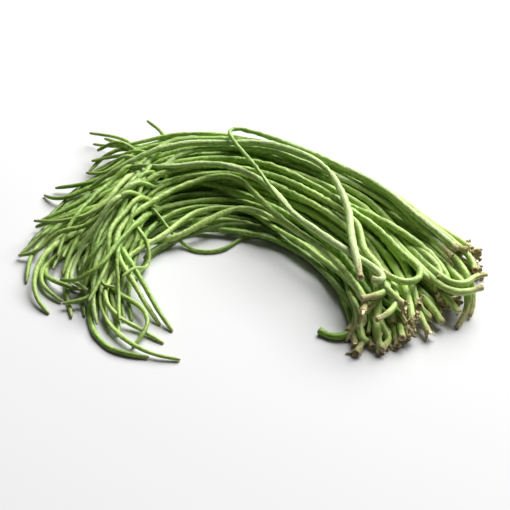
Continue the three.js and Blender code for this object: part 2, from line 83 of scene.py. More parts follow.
def smooth_step(low: float, high: float, at: np.ndarray) -> np.ndarray:
    """Rises from 0 at low to 1 at high along a cubic, 3t^2 - 2t^3, and stays flat outside.

    Args:
        low: where the rise starts.
        high: where the rise ends; it may lie below low, and the curve then falls.
        at: the places to read.

    Returns:
        The height at each place.
    """
    t = np.clip((at - low) / (high - low), 0.0, 1.0)
    return t * t * (3.0 - 2.0 * t)


def hump(centre: float, width: float, at: np.ndarray) -> np.ndarray:
    """A bell of height 1: exp(-((at - centre) / width)^2).

    Args:
        centre: the place of the top.
        width: the distance at which the bell has fallen to 1/e.
        at: the places to read.

    Returns:
        The height at each place.
    """
    return np.exp(-(((at - centre) / width) ** 2))


@dataclass(frozen=True)
class Ripple:
    """Smooth noise along a line: a sum of sines with random phases, mostly between -1 and 1."""

    lengths: np.ndarray
    phases: np.ndarray

    HEIGHT = 0.75

    @classmethod
    def draw(cls, rng: np.random.Generator, shortest: float, longest: float, waves: int = 6) -> "Ripple":
        """Draws the waves.

        Args:
            rng: the source of random numbers.
            shortest: the shortest wavelength.
            longest: the longest wavelength.
            waves: how many sines are added.

        Returns:
            The noise.
        """
        return cls(rng.uniform(shortest, longest, waves), rng.uniform(0.0, math.tau, waves))

    def at(self, distance: np.ndarray) -> np.ndarray:
        """The noise at each distance: the sines' sum over the root of their number, times the height."""
        angle = math.tau * distance[..., None] / self.lengths + self.phases
        return np.sin(angle).sum(axis=-1) / math.sqrt(len(self.lengths)) * self.HEIGHT


# ---------------------------------------------------------------- centre lines


@dataclass(frozen=True)
class Centreline:
    """The line that a pod lies along, from stalk end to tip, with the pod's radius at each point."""

    points: np.ndarray
    radii: np.ndarray

    MERGE_DECIMALS = 7
    FINE_STEP = 1.0 * MM

    @staticmethod
    def _edges_from(edges: np.ndarray, count: int, start: int) -> np.ndarray:
        """Counts edges from one vertex to every other, a whole front of vertices at a time.

        Args:
            edges: pairs of vertex numbers.
            count: how many vertices there are.
            start: the vertex to count from.

        Returns:
            The number of edges to each vertex.
        """
        steps = np.full(count, -1)
        steps[start] = 0
        front = np.zeros(count, bool)
        front[start] = True
        step = 0
        while front.any():
            step += 1
            reached = np.zeros(count, bool)
            reached[edges[front[edges[:, 0]], 1]] = True
            reached[edges[front[edges[:, 1]], 0]] = True
            front = reached & (steps < 0)
            steps[front] = step
        return steps

    @classmethod
    def of_solid(cls, solid: bpy.types.Object) -> "Centreline":
        """Reads a pod's solid from the frame: equal rings of vertices between one vertex at each end.

        The vertex furthest from any vertex is near an end, and the one furthest from that is the vertex that
        closes the other end. Rings are then the vertices at 1, 2, 3... edges from it.

        Args:
            solid: the frame's object for the pod.

        Returns:
            The rings' centres and radii, the thick stalk end first.
        """
        mesh = solid.data
        corners = np.empty(len(mesh.vertices) * 3, np.float32)
        mesh.vertices.foreach_get("co", corners)
        loops = np.empty(len(mesh.loops), np.int32)
        mesh.loops.foreach_get("vertex_index", loops)
        rounded = np.round(corners.reshape(-1, 3).astype(float), cls.MERGE_DECIMALS)
        spots, merged = np.unique(rounded, axis=0, return_inverse=True)
        triangles = merged.reshape(-1)[loops].reshape(-1, 3)
        edges = np.concatenate([triangles[:, [0, 1]], triangles[:, [1, 2]], triangles[:, [2, 0]]])
        near_an_end = int(np.argmax(cls._edges_from(edges, len(spots), 0)))
        end = int(np.argmax(cls._edges_from(edges, len(spots), near_an_end)))
        steps = cls._edges_from(edges, len(spots), end)
        sizes = np.bincount(steps)
        if sizes[0] != 1 or sizes[-1] != 1 or len(set(sizes[1:-1])) != 1:
            raise ValueError(f"{solid.name} isn't rings between two end vertices: {sizes}")
        rings = spots[np.argsort(steps, kind="stable")][1:-1].reshape(len(sizes) - 2, sizes[1], 3)
        centres = rings.mean(axis=1)
        radii = np.linalg.norm(rings - centres[:, None], axis=2).mean(axis=1)
        order = 1 if radii[0] > radii[-1] else -1
        return cls(centres[::order], radii[::order])

    @property
    def distances(self) -> np.ndarray:
        """How far along the line each point lies."""
        gaps = np.linalg.norm(np.diff(self.points, axis=0), axis=1)
        return np.concatenate([[0.0], np.cumsum(gaps)])

    @property
    def length(self) -> float:
        """The whole line's length."""
        return float(self.distances[-1])

    def curved(self, softness: float) -> "Centreline":
        """A smooth curve through the points: cubic Hermite pieces, then averaged with a bell-shaped window.

        Args:
            softness: the window's width, which rounds off tighter wiggles.

        Returns:
            The curve, in fine even steps.
        """
        t = self.distances
        slopes = np.gradient(self.points, t, axis=0)
        fine = np.linspace(0.0, t[-1], int(math.ceil(t[-1] / self.FINE_STEP)) + 1)
        k = np.clip(np.searchsorted(t, fine, side="right") - 1, 0, len(t) - 2)
        span = (t[k + 1] - t[k])[:, None]
        u = (fine - t[k])[:, None] / span
        curve = (
            (2 * u**3 - 3 * u**2 + 1) * self.points[k]
            + (u**3 - 2 * u**2 + u) * span * slopes[k]
            + (3 * u**2 - 2 * u**3) * self.points[k + 1]
            + (u**3 - u**2) * span * slopes[k + 1]
        )
        reach = int(3 * softness / self.FINE_STEP)
        window = np.exp(-0.5 * (np.arange(-reach, reach + 1) * self.FINE_STEP / softness) ** 2)
        window /= window.sum()
        before = 2 * curve[0] - curve[reach:0:-1]
        after = 2 * curve[-1] - curve[-2 : -reach - 2 : -1]
        padded = np.concatenate([before, curve, after])
        smooth = np.stack([np.convolve(padded[:, axis], window, mode="valid") for axis in range(3)], axis=1)
        return Centreline(smooth, np.interp(fine, t, self.radii))

    def stepped(self, step: float) -> "Centreline":
        """The same line in even steps.

        Args:
            step: about how far apart the points are.

        Returns:
            The line with new points.
        """
        t = self.distances
        even = np.linspace(0.0, t[-1], max(int(round(t[-1] / step)), 8) + 1)
        points = np.stack([np.interp(even, t, self.points[:, axis]) for axis in range(3)], axis=1)
        return Centreline(points, np.interp(even, t, self.radii))

    def at_shares(self, shares: np.ndarray) -> "Centreline":
        """The same line with a point at each share of its length, 0 for the stalk end and 1 for the tip."""
        t = self.distances / self.length
        points = np.stack([np.interp(shares, t, self.points[:, axis]) for axis in range(3)], axis=1)
        return Centreline(points, np.interp(shares, t, self.radii))

    def between(self, other: "Centreline", shares: np.ndarray, drop: float) -> "Centreline":
        """A line halfway between this one and another, a little lower where there is room.

        Args:
            other: the other line.
            shares: the shares of both lines' lengths that are joined.
            drop: how much lower the new line lies.

        Returns:
            The line in between, never closer to the floor than its own radius.
        """
        mine, theirs = self.at_shares(shares), other.at_shares(shares)
        points = 0.5 * (mine.points + theirs.points)
        radii = 0.5 * (mine.radii + theirs.radii)
        points[:, 2] = np.maximum(points[:, 2] - drop, radii)
        return Centreline(points, radii)

    def axes(self) -> tuple[np.ndarray, np.ndarray, np.ndarray]:
        """Three cross axes at each point: along the line, level to its side, and up from it."""
        along = np.gradient(self.points, axis=0)
        along /= np.linalg.norm(along, axis=1, keepdims=True)
        side = np.cross(along, np.array([0.0, 0.0, 1.0]))
        side /= np.linalg.norm(side, axis=1, keepdims=True)
        return along, side, np.cross(side, along)


# ---------------------------------------------------------------- the camera's view


@dataclass(frozen=True)
class View:
    """Where the camera stands, and where on the plan lies what is seen from there.

    The view is square. The aim is seen above its middle, by the number of pixels in raised.
    """

    aim: tuple[float, float, float] = (7.2 * MM, -24.68 * MM, 0.0)
    elevation: float = math.radians(40.0)
    distance: float = 1.1
    width: float = 0.51
    pixels: int = 510
    raised: int = 2

    @property
    def back(self) -> tuple[float, float, float]:
        """The direction from the aim to the camera."""
        return 0.0, -math.cos(self.elevation), math.sin(self.elevation)

    def plan(self, places: Places) -> np.ndarray:
        """Finds plan points from places in the view.

        A line from the camera through the place meets the level at the given height. The point is rounded to
        whole millimetres, which is as closely as a place can be told.

        Args:
            places: rows of pixels across and down from the view's top left corner, and height in millimetres.

        Returns:
            Rows of x, y and the same height, in metres.
        """
        across, down, height = np.asarray(places, float).T
        pixel = self.width / self.pixels
        height = height * MM
        rise, run = math.sin(self.elevation), math.cos(self.elevation)
        slant = (self.pixels / 2 - self.raised - down) * pixel / self.distance
        y = (slant * (self.distance - height * rise) - height * run) / (rise - slant * run)
        x = (across - self.pixels / 2) * pixel * (1 + (y * run - height * rise) / self.distance)
        spots = np.column_stack([x + self.aim[0], y + self.aim[1]])
        return np.column_stack([np.round(spots / MM) * MM, height])


# ---------------------------------------------------------------- meshes


@dataclass
class Tube:
    """A closed skin of rings carried along a line, with named values at every vertex."""

    rings: np.ndarray
    ends: np.ndarray
    values: dict[str, np.ndarray] = field(default_factory=dict)

    def faces(self) -> tuple[np.ndarray, np.ndarray]:
        """The quads between rings, and the triangles that close both ends.

        They point outwards when the rings run anticlockwise as seen from beyond the last ring.
        """
        count, sides = self.rings.shape[:2]
        row = np.arange(count - 1)[:, None] * sides
        here = np.arange(sides)[None, :]
        beyond = (here + 1) % sides
        quads = np.stack([row + here, row + beyond, row + sides + beyond, row + sides + here], axis=-1)
        first, last = count * sides, count * sides + 1
        here, beyond = here[0], beyond[0]
        start = np.stack([np.full(sides, first), beyond, here], axis=-1)
        base = (count - 1) * sides
        stop = np.stack([np.full(sides, last), base + here, base + beyond], axis=-1)
        return quads.reshape(-1, 4), np.concatenate([start, stop])

    def vertices(self) -> np.ndarray:
        """All vertices: the rings in order, then the two end points."""
        return np.concatenate([self.rings.reshape(-1, 3), self.ends])


def add_object(name: str, data: bpy.types.ID) -> bpy.types.Object:
    """Makes an object of a mesh, a light or a camera, and links it to the scene."""
    made = bpy.data.objects.new(name, data)
    bpy.context.scene.collection.objects.link(made)
    return made


def with_ends(values: np.ndarray) -> np.ndarray:
    """A value per ring vertex, with the two end points' values added, each the mean of its ring."""
    flat = values.reshape(-1, *values.shape[2:])
    return np.concatenate([flat, values[[0, -1]].mean(axis=1)])


def build_piece(name: str, tubes: list[Tube]) -> bpy.types.Object:
    """Makes one object of one or more tubes, with smooth faces and the tubes' values as attributes.

    Args:
        name: the piece's name.
        tubes: the skins, each with the same named values.

    Returns:
        The object, at the origin, linked to the scene.
    """
    spots: list[np.ndarray] = []
    faces: list[list[int]] = []
    base = 0
    for tube in tubes:
        quads, fans = tube.faces()
        faces += (quads + base).tolist() + (fans + base).tolist()
        spots.append(tube.vertices())
        base += len(spots[-1])
    mesh = bpy.data.meshes.new(name)
    mesh.from_pydata(np.concatenate(spots).tolist(), [], faces)
    for key in tubes[0].values:
        data = np.concatenate([tube.values[key] for tube in tubes]).astype(np.float32)
        wide = data.ndim == 2
        attribute = mesh.attributes.new(key, "FLOAT_VECTOR" if wide else "FLOAT", "POINT")
        attribute.data.foreach_set("vector" if wide else "value", data.ravel())
    mesh.polygons.foreach_set("use_smooth", np.ones(len(mesh.polygons), bool))
    mesh.update()
    return add_object(name, mesh)


# ---------------------------------------------------------------- pods


class StalkEnd(Enum):
    """How a pod's stalk end looks."""

    CALYX = "a dried calyx cup with a short stalk"
    CUT = "a plain cut"
    WITHERED = "a shrunken brown stub"
    FRESH = "a plain green end"


@dataclass(frozen=True)
class PodCharacter:
    """What sets one pod apart from the next."""

    end: StalkEnd
    tone: float
    seed_spacing: float
    seed_swell: float
    flatness: float
    twist_start: float
    twist_rate: float
    lobes: float
    dry_reach: float
    fullness: float
    neck: float
    offset: float
    seed_drift: Ripple
    strength: Ripple
    twist_drift: Ripple
    sway: Ripple
    lift: Ripple
    kinks: Ripple
    lumps: Ripple
    grain: Ripple
    hollows: Ripple

    # How often a stalk end that is left to chance looks each way.
    CHANCES = {StalkEnd.CALYX: 0.45, StalkEnd.CUT: 0.35, StalkEnd.WITHERED: 0.2}

    @classmethod
    def draw(cls, rng: np.random.Generator, end: StalkEnd | None = None) -> "PodCharacter":
        """Draws one pod's character.

        Args:
            rng: the source of random numbers.
            end: how the stalk end looks, if that isn't left to chance.

        Returns:
            The character.
        """
        kinds, chances = list(cls.CHANCES), list(cls.CHANCES.values())
        kind = kinds[int(rng.choice(len(kinds), p=chances))]
        return cls(
            end=end or kind,
            tone=float(rng.beta(1.6, 2.4)),
            seed_spacing=float(rng.uniform(11.0, 16.0)) * MM,
            seed_swell=float(rng.uniform(0.05, 0.17)),
            flatness=float(rng.uniform(0.06, 0.26)),
            twist_start=float(rng.uniform(0.0, math.tau)),
            twist_rate=float(rng.uniform(-9.0, 9.0)),
            lobes=float(rng.uniform(0.0, math.tau)),
            dry_reach=float(rng.uniform(6.0, 22.0)) * MM,
            fullness=float(rng.uniform(0.9, 1.04)),
            neck=float(rng.uniform(0.05, 0.32)),
            offset=float(rng.uniform(0.0, 50.0)),
            seed_drift=Ripple.draw(rng, 60 * MM, 150 * MM),
            strength=Ripple.draw(rng, 40 * MM, 160 * MM),
            twist_drift=Ripple.draw(rng, 60 * MM, 200 * MM),
            sway=Ripple.draw(rng, 70 * MM, 190 * MM),
            lift=Ripple.draw(rng, 70 * MM, 190 * MM),
            kinks=Ripple.draw(rng, 16 * MM, 40 * MM),
            lumps=Ripple.draw(rng, 9 * MM, 34 * MM),
            grain=Ripple.draw(rng, 4.5 * MM, 9 * MM),
            hollows=Ripple.draw(rng, 40 * MM, 130 * MM),
        )


@dataclass
class BeanPod:
    """One yardlong bean with its stalk, swept along its centre line."""

    name: str
    line: Centreline
    character: PodCharacter

    step: float = 2.3 * MM
    sides: int = 18
    softness: float = 4.5 * MM
    sway: float = 0.9 * MM
    kink: float = 0.14 * MM
    seam_ridge: float = 0.08
    seam_width: float = 0.34
    lump_share: float = 0.045
    grain_share: float = 0.025
    hollow_depth: float = 0.15
    stalk_half_swell: float = 0.12
    withering: float = 0.36
    # Painted light: pods turn paler towards the stalk end, fully within 80 mm of it and fading out by 280 mm,
    # as light on the arm of stalk ends.
    stalk_painted_light: float = 0.5
    painted_light_reach: tuple[float, float] = (280.0 * MM, 80.0 * MM)
    thinnest: float = 1.7 * MM
    tip_reach: float = 70.0 * MM
    point: float = 5.0 * MM
    blunt: float = 0.75
    pith_contrast: float = 1.5

    # Distances along the pod, most from the stalk end or the tip, over which something comes in or fades out.
    sway_from_stalk: float = 50.0 * MM
    sway_from_tip: float = 40.0 * MM
    seeds_from_stalk: tuple[float, float] = (12.0 * MM, 45.0 * MM)
    seeds_from_tip: tuple[float, float] = (12.0 * MM, 75.0 * MM)
    thickening: tuple[float, float] = (170.0 * MM, 50.0 * MM)
    dry_fade: float = 9.0 * MM

    # How far the patterns of kinks, lumps and grain shift along the pod, and the skin's from pod to pod.
    kink_shift: float = 20.0 * MM
    lump_shift: float = 2.0 * MM
    grain_shift: float = 3.0 * MM
    skin_shift: float = 31.0

    # Swellings and hollows along the stalk end: where each is deepest or highest, and how wide it is.
    NECK = (9.0 * MM, 6.0 * MM)
    CUP = (5.0 * MM, 2.4 * MM)
    RIM = (0.0, 1.8 * MM)
    FLARE = (0.3 * MM, 3.4 * MM)
    KNUCKLE = (4.0 * MM, 2.0 * MM)
    NEXT_KNUCKLE = (10.0 * MM, 2.4 * MM)

    # How far from its end a withered stalk starts to shrink, and from where on it is fully shrunken.
    SHRINK = (34.0 * MM, 5.0 * MM)

    # How far in or out the added rings of the dished stalk end and the rounded tip lie, and how wide they are
    # against the ring that they copy.
    DISH = ((0.35, 1.5 * MM), (0.66, 0.9 * MM), (0.9, -0.3 * MM))
    NOSE = ((0.8, 0.35 * MM), (0.45, 0.65 * MM))

    def _laid_line(self) -> Centreline:
        """The smooth line with a slight sway and short kinks, which fade at both ends."""
        who = self.character
        line = self.line.curved(self.softness).stepped(self.step)
        s = line.distances
        _, side, up = line.axes()
        fade = smooth_step(0.0, self.sway_from_stalk, s)
        fade = fade * smooth_step(line.length, line.length - self.sway_from_tip, s)
        sideways = fade * (self.sway * who.sway.at(s) + self.kink * who.kinks.at(s))
        upwards = fade * (self.sway * who.lift.at(s) + self.kink * who.kinks.at(s + self.kink_shift))
        return Centreline(line.points + side * sideways[:, None] + up * upwards[:, None], line.radii)

    def _stalk_share(self, along: np.ndarray, angle: np.ndarray) -> np.ndarray:
        """How the stalk end swells and narrows against the plain stalk, ring by ring and round the ring.

        Args:
            along: distance from the stalk end, one row per ring.
            angle: angle round the pod, one column per vertex.

        Returns:
            A factor on the radius.
        """
        kind = self.character.end
        five = np.cos(5 * angle + self.character.lobes)
        three = np.cos(3 * angle - 2 * self.character.lobes)
        neck = self.character.neck * hump(*self.NECK, along)
        if kind is StalkEnd.CALYX:
            cup = hump(*self.CUP, along)
            rim = hump(*self.RIM, along)
            return 1 - neck + cup * (0.16 + 0.12 * five) + rim * (0.24 + 0.14 * three)
        if kind in (StalkEnd.CUT, StalkEnd.FRESH):
            flare = hump(*self.FLARE, along)
            return 1 - 0.5 * neck + flare * (0.14 + 0.08 * three)
        knuckle = hump(*self.KNUCKLE, along) + 0.7 * hump(*self.NEXT_KNUCKLE, along)
        shrink = smooth_step(*self.SHRINK, along)
        return 1 - self.withering * shrink + knuckle * (0.2 + 0.12 * three) + 0.08 * shrink * five

    def build(self) -> Tube:
        """Sweeps the skin.

        The radius at a distance s and angle a is the solid's radius times a sum: the pod's fullness, which is
        more towards the stalk; an oval section, cos^2(a - twist) - 1/2; seeds, a cosine wave along s that is
        strongest where the oval is widest; a ridge along both seams, where it is narrowest; lumps with a
        finer grain; and shallow hollows. The stalk end and the tip have shapes of their own.

        Returns:
            The pod's closed skin.
        """
        who = self.character
        line = self._laid_line()
        s = line.distances[:, None]
        left = line.length - s
        # Seen from the stalk end the rings run clockwise, which turns the faces outwards.
        angle = -np.arange(self.sides)[None, :] * (math.tau / self.sides)
        twist = who.twist_start + who.twist_rate * s + 0.9 * who.twist_drift.at(s)
        seed_side = np.cos(angle - twist) ** 2
        seam = np.exp(-((np.cos(angle - twist) / self.seam_width) ** 2))
        body = smooth_step(*self.seeds_from_stalk, s) * smooth_step(*self.seeds_from_tip, left)
        beat = math.tau * (s / who.seed_spacing + 0.5 * who.seed_drift.at(s))
        strength = body * who.seed_swell * (0.6 + 0.4 * who.strength.at(s))
        seeds = strength * np.cos(beat) * (0.3 + 0.7 * seed_side)
        lumps = self.lump_share * who.lumps.at(s + self.lump_shift * np.sin(angle + who.lobes))
        grain = who.grain.at(s + self.grain_shift * np.sin(2 * angle + who.lobes))
        lumps = lumps + self.grain_share * body * grain
        hollow = self.hollow_depth * body * smooth_step(0.15, 0.9, who.hollows.at(s))
        full = who.fullness + self.stalk_half_swell * smooth_step(*self.thickening, s)
        share = full + who.flatness * body * (seed_side - 0.5) + seeds
        share = share + self.seam_ridge * body * (seam - 0.3)
        share = (share + lumps - hollow) * self._stalk_share(s, angle)
        pointed = self.blunt + (1 - self.blunt) * np.sqrt(np.clip(left / self.point, 0.0, 1.0))
        radius = np.maximum(line.radii, self.thinnest)[:, None] * share * pointed
        _, side, up = line.axes()
        across = np.cos(angle)[..., None] * side[:, None] + np.sin(angle)[..., None] * up[:, None]
        rings = line.points[:, None] + radius[..., None] * across
        rings, rows, widths = self._close_ends(line, rings)
        rings[..., 2] = np.maximum(rings[..., 2], 0.0)
        # The tone attribute is the pod's own random tone plus painted light that pales it towards the stalk
        # end, or painted shade that darkens it there.
        tone = who.tone + self.stalk_painted_light * smooth_step(*self.painted_light_reach, s)
        swell = seeds / max(who.seed_swell, 0.01) - hollow / self.hollow_depth
        values = {
            "unrolled": self._unrolled(line, radius, angle)[rows],
            "swell": swell[rows],
            "seam": (seam * body)[rows],
            "dry": self._dryness(s, angle)[rows],
            "tip": np.broadcast_to(smooth_step(self.tip_reach, 0.0, left), seam.shape)[rows],
            "tone": np.broadcast_to(tone, seam.shape)[rows],
            "cut": np.broadcast_to(self._cut_share(widths)[:, None], rings.shape[:2]),
        }
        values["unrolled"][..., :2] *= widths[:, None, None]
        values["unrolled"][..., 0] += self.skin_shift * who.offset
        values = {key: with_ends(grid) for key, grid in values.items()}
        return Tube(rings, rings[[0, -1]].mean(axis=1), values)

    def _close_ends(self, line: Centreline, rings: np.ndarray) -> tuple[np.ndarray, np.ndarray, np.ndarray]:
        """Adds rings that turn the stalk end into a dished cut and round off the tip.

        Args:
            line: the centre line.
            rings: the swept rings.

        Returns:
            The rings with the added ones, and for each of them the number of the swept ring that it copies
            and its width against that ring.
        """
        along, _, _ = line.axes()
        root, tip = line.points[0], line.points[-1]
        first = [root + (rings[0] - root) * wide + along[0] * deep for wide, deep in self.DISH]
        last = [tip + (rings[-1] - tip) * wide + along[-1] * out for wide, out in self.NOSE]
        count = len(rings)
        rows = np.pad(np.arange(count), (len(first), len(last)), mode="edge")
        dish, nose = ([wide for wide, _ in added] for added in (self.DISH, self.NOSE))
        widths = np.concatenate([dish, np.ones(count), nose])
        return np.concatenate([np.stack(first), rings, np.stack(last)]), rows, widths

    def _cut_share(self, widths: np.ndarray) -> np.ndarray:
        """How far in on the cut end each ring lies: 0 at its rim and along the pod, 1 near the middle."""
        inwards = np.zeros_like(widths)
        if self.character.end is StalkEnd.FRESH:
            return inwards
        inwards[: len(self.DISH)] = self.pith_contrast * (1 - widths[: len(self.DISH)])
        return inwards

    @staticmethod
    def _unrolled(line: Centreline, radius: np.ndarray, angle: np.ndarray) -> np.ndarray:
        """Where each vertex would be if the pod were straight and started at the origin, in millimetres."""
        length = np.broadcast_to(line.distances[:, None] / MM, radius.shape)
        return np.stack([radius / MM * np.cos(angle), radius / MM * np.sin(angle), length], axis=-1)

    def _dryness(self, s: np.ndarray, angle: np.ndarray) -> np.ndarray:
        """How dried out the skin is: 1 at the cut, fading out along the stalk with an uneven edge."""
        who = self.character
        if who.end is StalkEnd.FRESH:
            return np.zeros(np.broadcast_shapes(s.shape, angle.shape))
        edge = who.dry_reach * (1 + 0.25 * np.sin(angle * 2 + who.lobes) + 0.2 * np.cos(angle * 5))
        return np.clip((edge - s) / self.dry_fade, 0.0, 1.0)


# ---------------------------------------------------------------- dried calyx sprays


@dataclass
class DriedSpray:
    """A tuft at a pod's stalk end: swollen old flower stubs with curled dried calyx flaps round them."""

    name: str
    root: np.ndarray
    direction: np.ndarray
    flaps: int
    stubs: int
    rim: float = 2.6 * MM
    flap_lengths: tuple[float, float] = (3.5 * MM, 8.0 * MM)
    flap_width: float = 2.2 * MM
    flap_depth: float = 0.5 * MM
    stub_lengths: tuple[float, float] = (5.0 * MM, 10.0 * MM)
    stub_radii: tuple[float, float] = (2.0 * MM, 3.1 * MM)
    spread: float = 0.5 * MM
    widest_spread: float = 1.9 * MM
    farthest: float = 1.3
    flap_foot: float = 2.5 * MM
    stub_foot: float = 3.0 * MM
    flap_height: float = 1.2 * MM
    end_height: float = 0.2 * MM
    pattern_shift: float = 900.0
    splay: float = 0.5
    sides: int = 12
    rows: int = 13

    def _sweep(
        self,
        rng: np.random.Generator,
        points: np.ndarray,
        wide: np.ndarray,
        widths: np.ndarray,
        depths: np.ndarray,
        dish: float = -0.4,
    ) -> Tube:
        """Sweeps an oval along a line, roughened round the ring, and closes both ends.

        Args:
            rng: the source of random numbers.
            points: the line.
            wide: the direction of the oval's width at each point.
            widths: half the oval's width at each point.
            depths: half the oval's depth at each point.
            dish: how deep the far end is hollowed out against its own depth; below 0 it bulges.

        Returns:
            The closed skin.
        """
        t = np.linspace(0.0, 1.0, len(points))
        along, _, _ = Centreline(points, widths).axes()
        wide = wide - (wide * along).sum(axis=1, keepdims=True) * along
        wide /= np.linalg.norm(wide, axis=1, keepdims=True)
        thin = np.cross(along, wide)
        angle = np.arange(self.sides)[None, :] * (math.tau / self.sides)
        phase = rng.uniform(0, math.tau, 2)
        rough = (
            1
            + 0.12 * np.cos(3 * angle + phase[0] + 5 * t[:, None])
            + 0.07 * np.cos(5 * angle + phase[1] - 8 * t[:, None])
            + 0.06 * rng.normal(size=(len(points), self.sides))
        )
        x = widths[:, None] * rough * np.cos(angle)
        y = depths[:, None] * rough * np.sin(angle)
        rings = points[:, None] + x[..., None] * wide[:, None] + y[..., None] * thin[:, None]
        ends = np.stack([points[0] - along[0] * depths[0], points[-1] - along[-1] * dish * depths[-1]])
        rings[..., 2] = np.maximum(rings[..., 2], 0.0)
        ends[:, 2] = np.maximum(ends[:, 2], self.end_height)
        reach = np.linalg.norm(points[-1] - points[0])
        unrolled = np.stack([x / MM, y / MM, np.broadcast_to(t[:, None] * reach / MM, x.shape)], axis=-1)
        unrolled[..., 0] += rng.uniform(0, self.pattern_shift)
        values = {
            "unrolled": unrolled,
            "age": np.full_like(x, rng.uniform()),
            "rim": np.broadcast_to(smooth_step(0.7, 1.0, t)[:, None], x.shape),
        }
        return Tube(rings, ends, {key: with_ends(grid) for key, grid in values.items()})

    def _flap(self, rng: np.random.Generator, turn: float) -> Tube:
        """One flap, which leaves the stalk's rim along the stalk and curls as a parabola, mostly outwards.

        Args:
            rng: the source of random numbers.
            turn: the angle round the stalk at which it springs.

        Returns:
            The flap's closed skin.
        """
        side = np.cross(self.direction, (0.0, 0.0, 1.0))
        side /= np.linalg.norm(side)
        out = math.cos(turn) * side + math.sin(turn) * np.cross(side, self.direction)
        t = np.linspace(0.0, 1.0, self.rows)[:, None]
        length = rng.uniform(*self.flap_lengths)
        curl = rng.uniform(-0.3, 0.7)
        foot = self.root - self.flap_foot * self.direction + self.rim * out
        points = foot + length * (t * self.direction + curl * t**2 * out + 0.3 * t**2 * rng.normal(size=3))
        points[:, 2] = np.maximum(points[:, 2], self.flap_height)
        leaf = np.sin(math.pi * (0.25 + 0.65 * t[:, 0])) * rng.uniform(0.6, 1.1)
        twist = rng.uniform(-0.8, 0.8) * t
        wide = np.cos(twist) * np.cross(self.direction, out) + np.sin(twist) * out
        return self._sweep(rng, points, wide, self.flap_width * leaf, self.flap_depth * (1.3 - 0.5 * t[:, 0]))

    def _stub(self, rng: np.random.Generator) -> Tube:
        """One bent stub: a swollen belly, a narrower neck and a flared, hollow rim.

        Args:
            rng: the source of random numbers.

        Returns:
            The stub's closed skin.
        """
        t = np.linspace(0.0, 1.0, self.rows)
        length = rng.uniform(*self.stub_lengths)
        aim = self.direction + self.splay * rng.normal(size=3)
        aim /= np.linalg.norm(aim)
        spread = min(self.spread * (1 + self.stubs), self.widest_spread)
        aside = np.clip(rng.normal(size=3), -self.farthest, self.farthest)
        start = self.root + spread * aside - self.direction * self.stub_foot
        points = start + length * (t[:, None] * aim + 0.3 * (t**2)[:, None] * rng.normal(size=3))
        belly = hump(rng.uniform(0.15, 0.5), rng.uniform(0.16, 0.28), t)
        radii = rng.uniform(*self.stub_radii) * (0.5 + 0.5 * belly + 0.35 * hump(1.0, 0.14, t))
        points[:, 2] = np.maximum(points[:, 2], radii)
        wide = np.broadcast_to(rng.normal(size=3), points.shape)
        return self._sweep(rng, points, wide, radii, radii * rng.uniform(0.6, 1.0), dish=0.6)

    def build(self, rng: np.random.Generator) -> list[Tube]:
        """All flaps and stubs of the spray."""
        turns = math.tau * (np.arange(self.flaps) + rng.uniform(-0.3, 0.3, self.flaps)) / max(self.flaps, 1)
        return [self._flap(rng, turn) for turn in turns] + [self._stub(rng) for _ in range(self.stubs)]


# ---------------------------------------------------------------- laying pods on the heap


@dataclass
class Heap:
    """Pods as balls strung along their lines, which loose pods are laid on."""

    balls: np.ndarray
    radii: np.ndarray
    spacing: float = 3.0 * MM
    softness: float = 4.0 * MM
    widened: int = 2
    eased: float = 3.0

    @classmethod
    def of(cls, lines: list[Centreline]) -> "Heap":
        """Strings balls along lines.

        Args:
            lines: the pods' centre lines.

        Returns:
            The heap.
        """
        heap = cls(np.empty((0, 3)), np.empty(0))
        for line in lines:
            heap.add(line)
        return heap

    def add(self, line: Centreline) -> None:
        """Adds one more pod."""
        strung = line.stepped(self.spacing)
        self.balls = np.concatenate([self.balls, strung.points])
        self.radii = np.concatenate([self.radii, strung.radii])

    def laid(self, line: Centreline, plunge: float, hidden: float) -> Centreline:
        """Lays a pod on the heap.

        Where the pod's circle and a ball's overlap on the floor, the pod's middle lies at least
        sqrt((r + R)^2 - d^2) above the ball's. The highest of these is widened along the line, and eased with
        a bell-shaped window.

        Args:
            line: the pod's line on the floor.
            plunge: how far below the heap's top its start is pushed in.
            hidden: the length over which it comes out.

        Returns:
            The line at its height.
        """
        level = line.curved(self.softness).stepped(self.spacing)
        apart = np.linalg.norm(level.points[:, None, :2] - self.balls[None, :, :2], axis=2)
        both = level.radii[:, None] + self.radii[None, :]
        above = np.sqrt(np.clip(both**2 - apart**2, 0.0, None))
        heights = np.where(apart < both, self.balls[None, :, 2] + above, 0.0).max(axis=1)
        heights = np.maximum(heights, level.radii)
        padded = np.pad(heights, self.widened, mode="edge")
        heights = np.lib.stride_tricks.sliding_window_view(padded, 2 * self.widened + 1).max(axis=1)
        reach = int(3 * self.eased)
        window = np.exp(-0.5 * (np.arange(-reach, reach + 1) / self.eased) ** 2)
        heights = np.convolve(np.pad(heights, reach, mode="edge"), window / window.sum(), mode="valid")
        heights -= plunge * smooth_step(hidden, 0.0, level.distances)
        level.points[:, 2] = np.maximum(heights, level.radii)
        return level


# ---------------------------------------------------------------- finishes


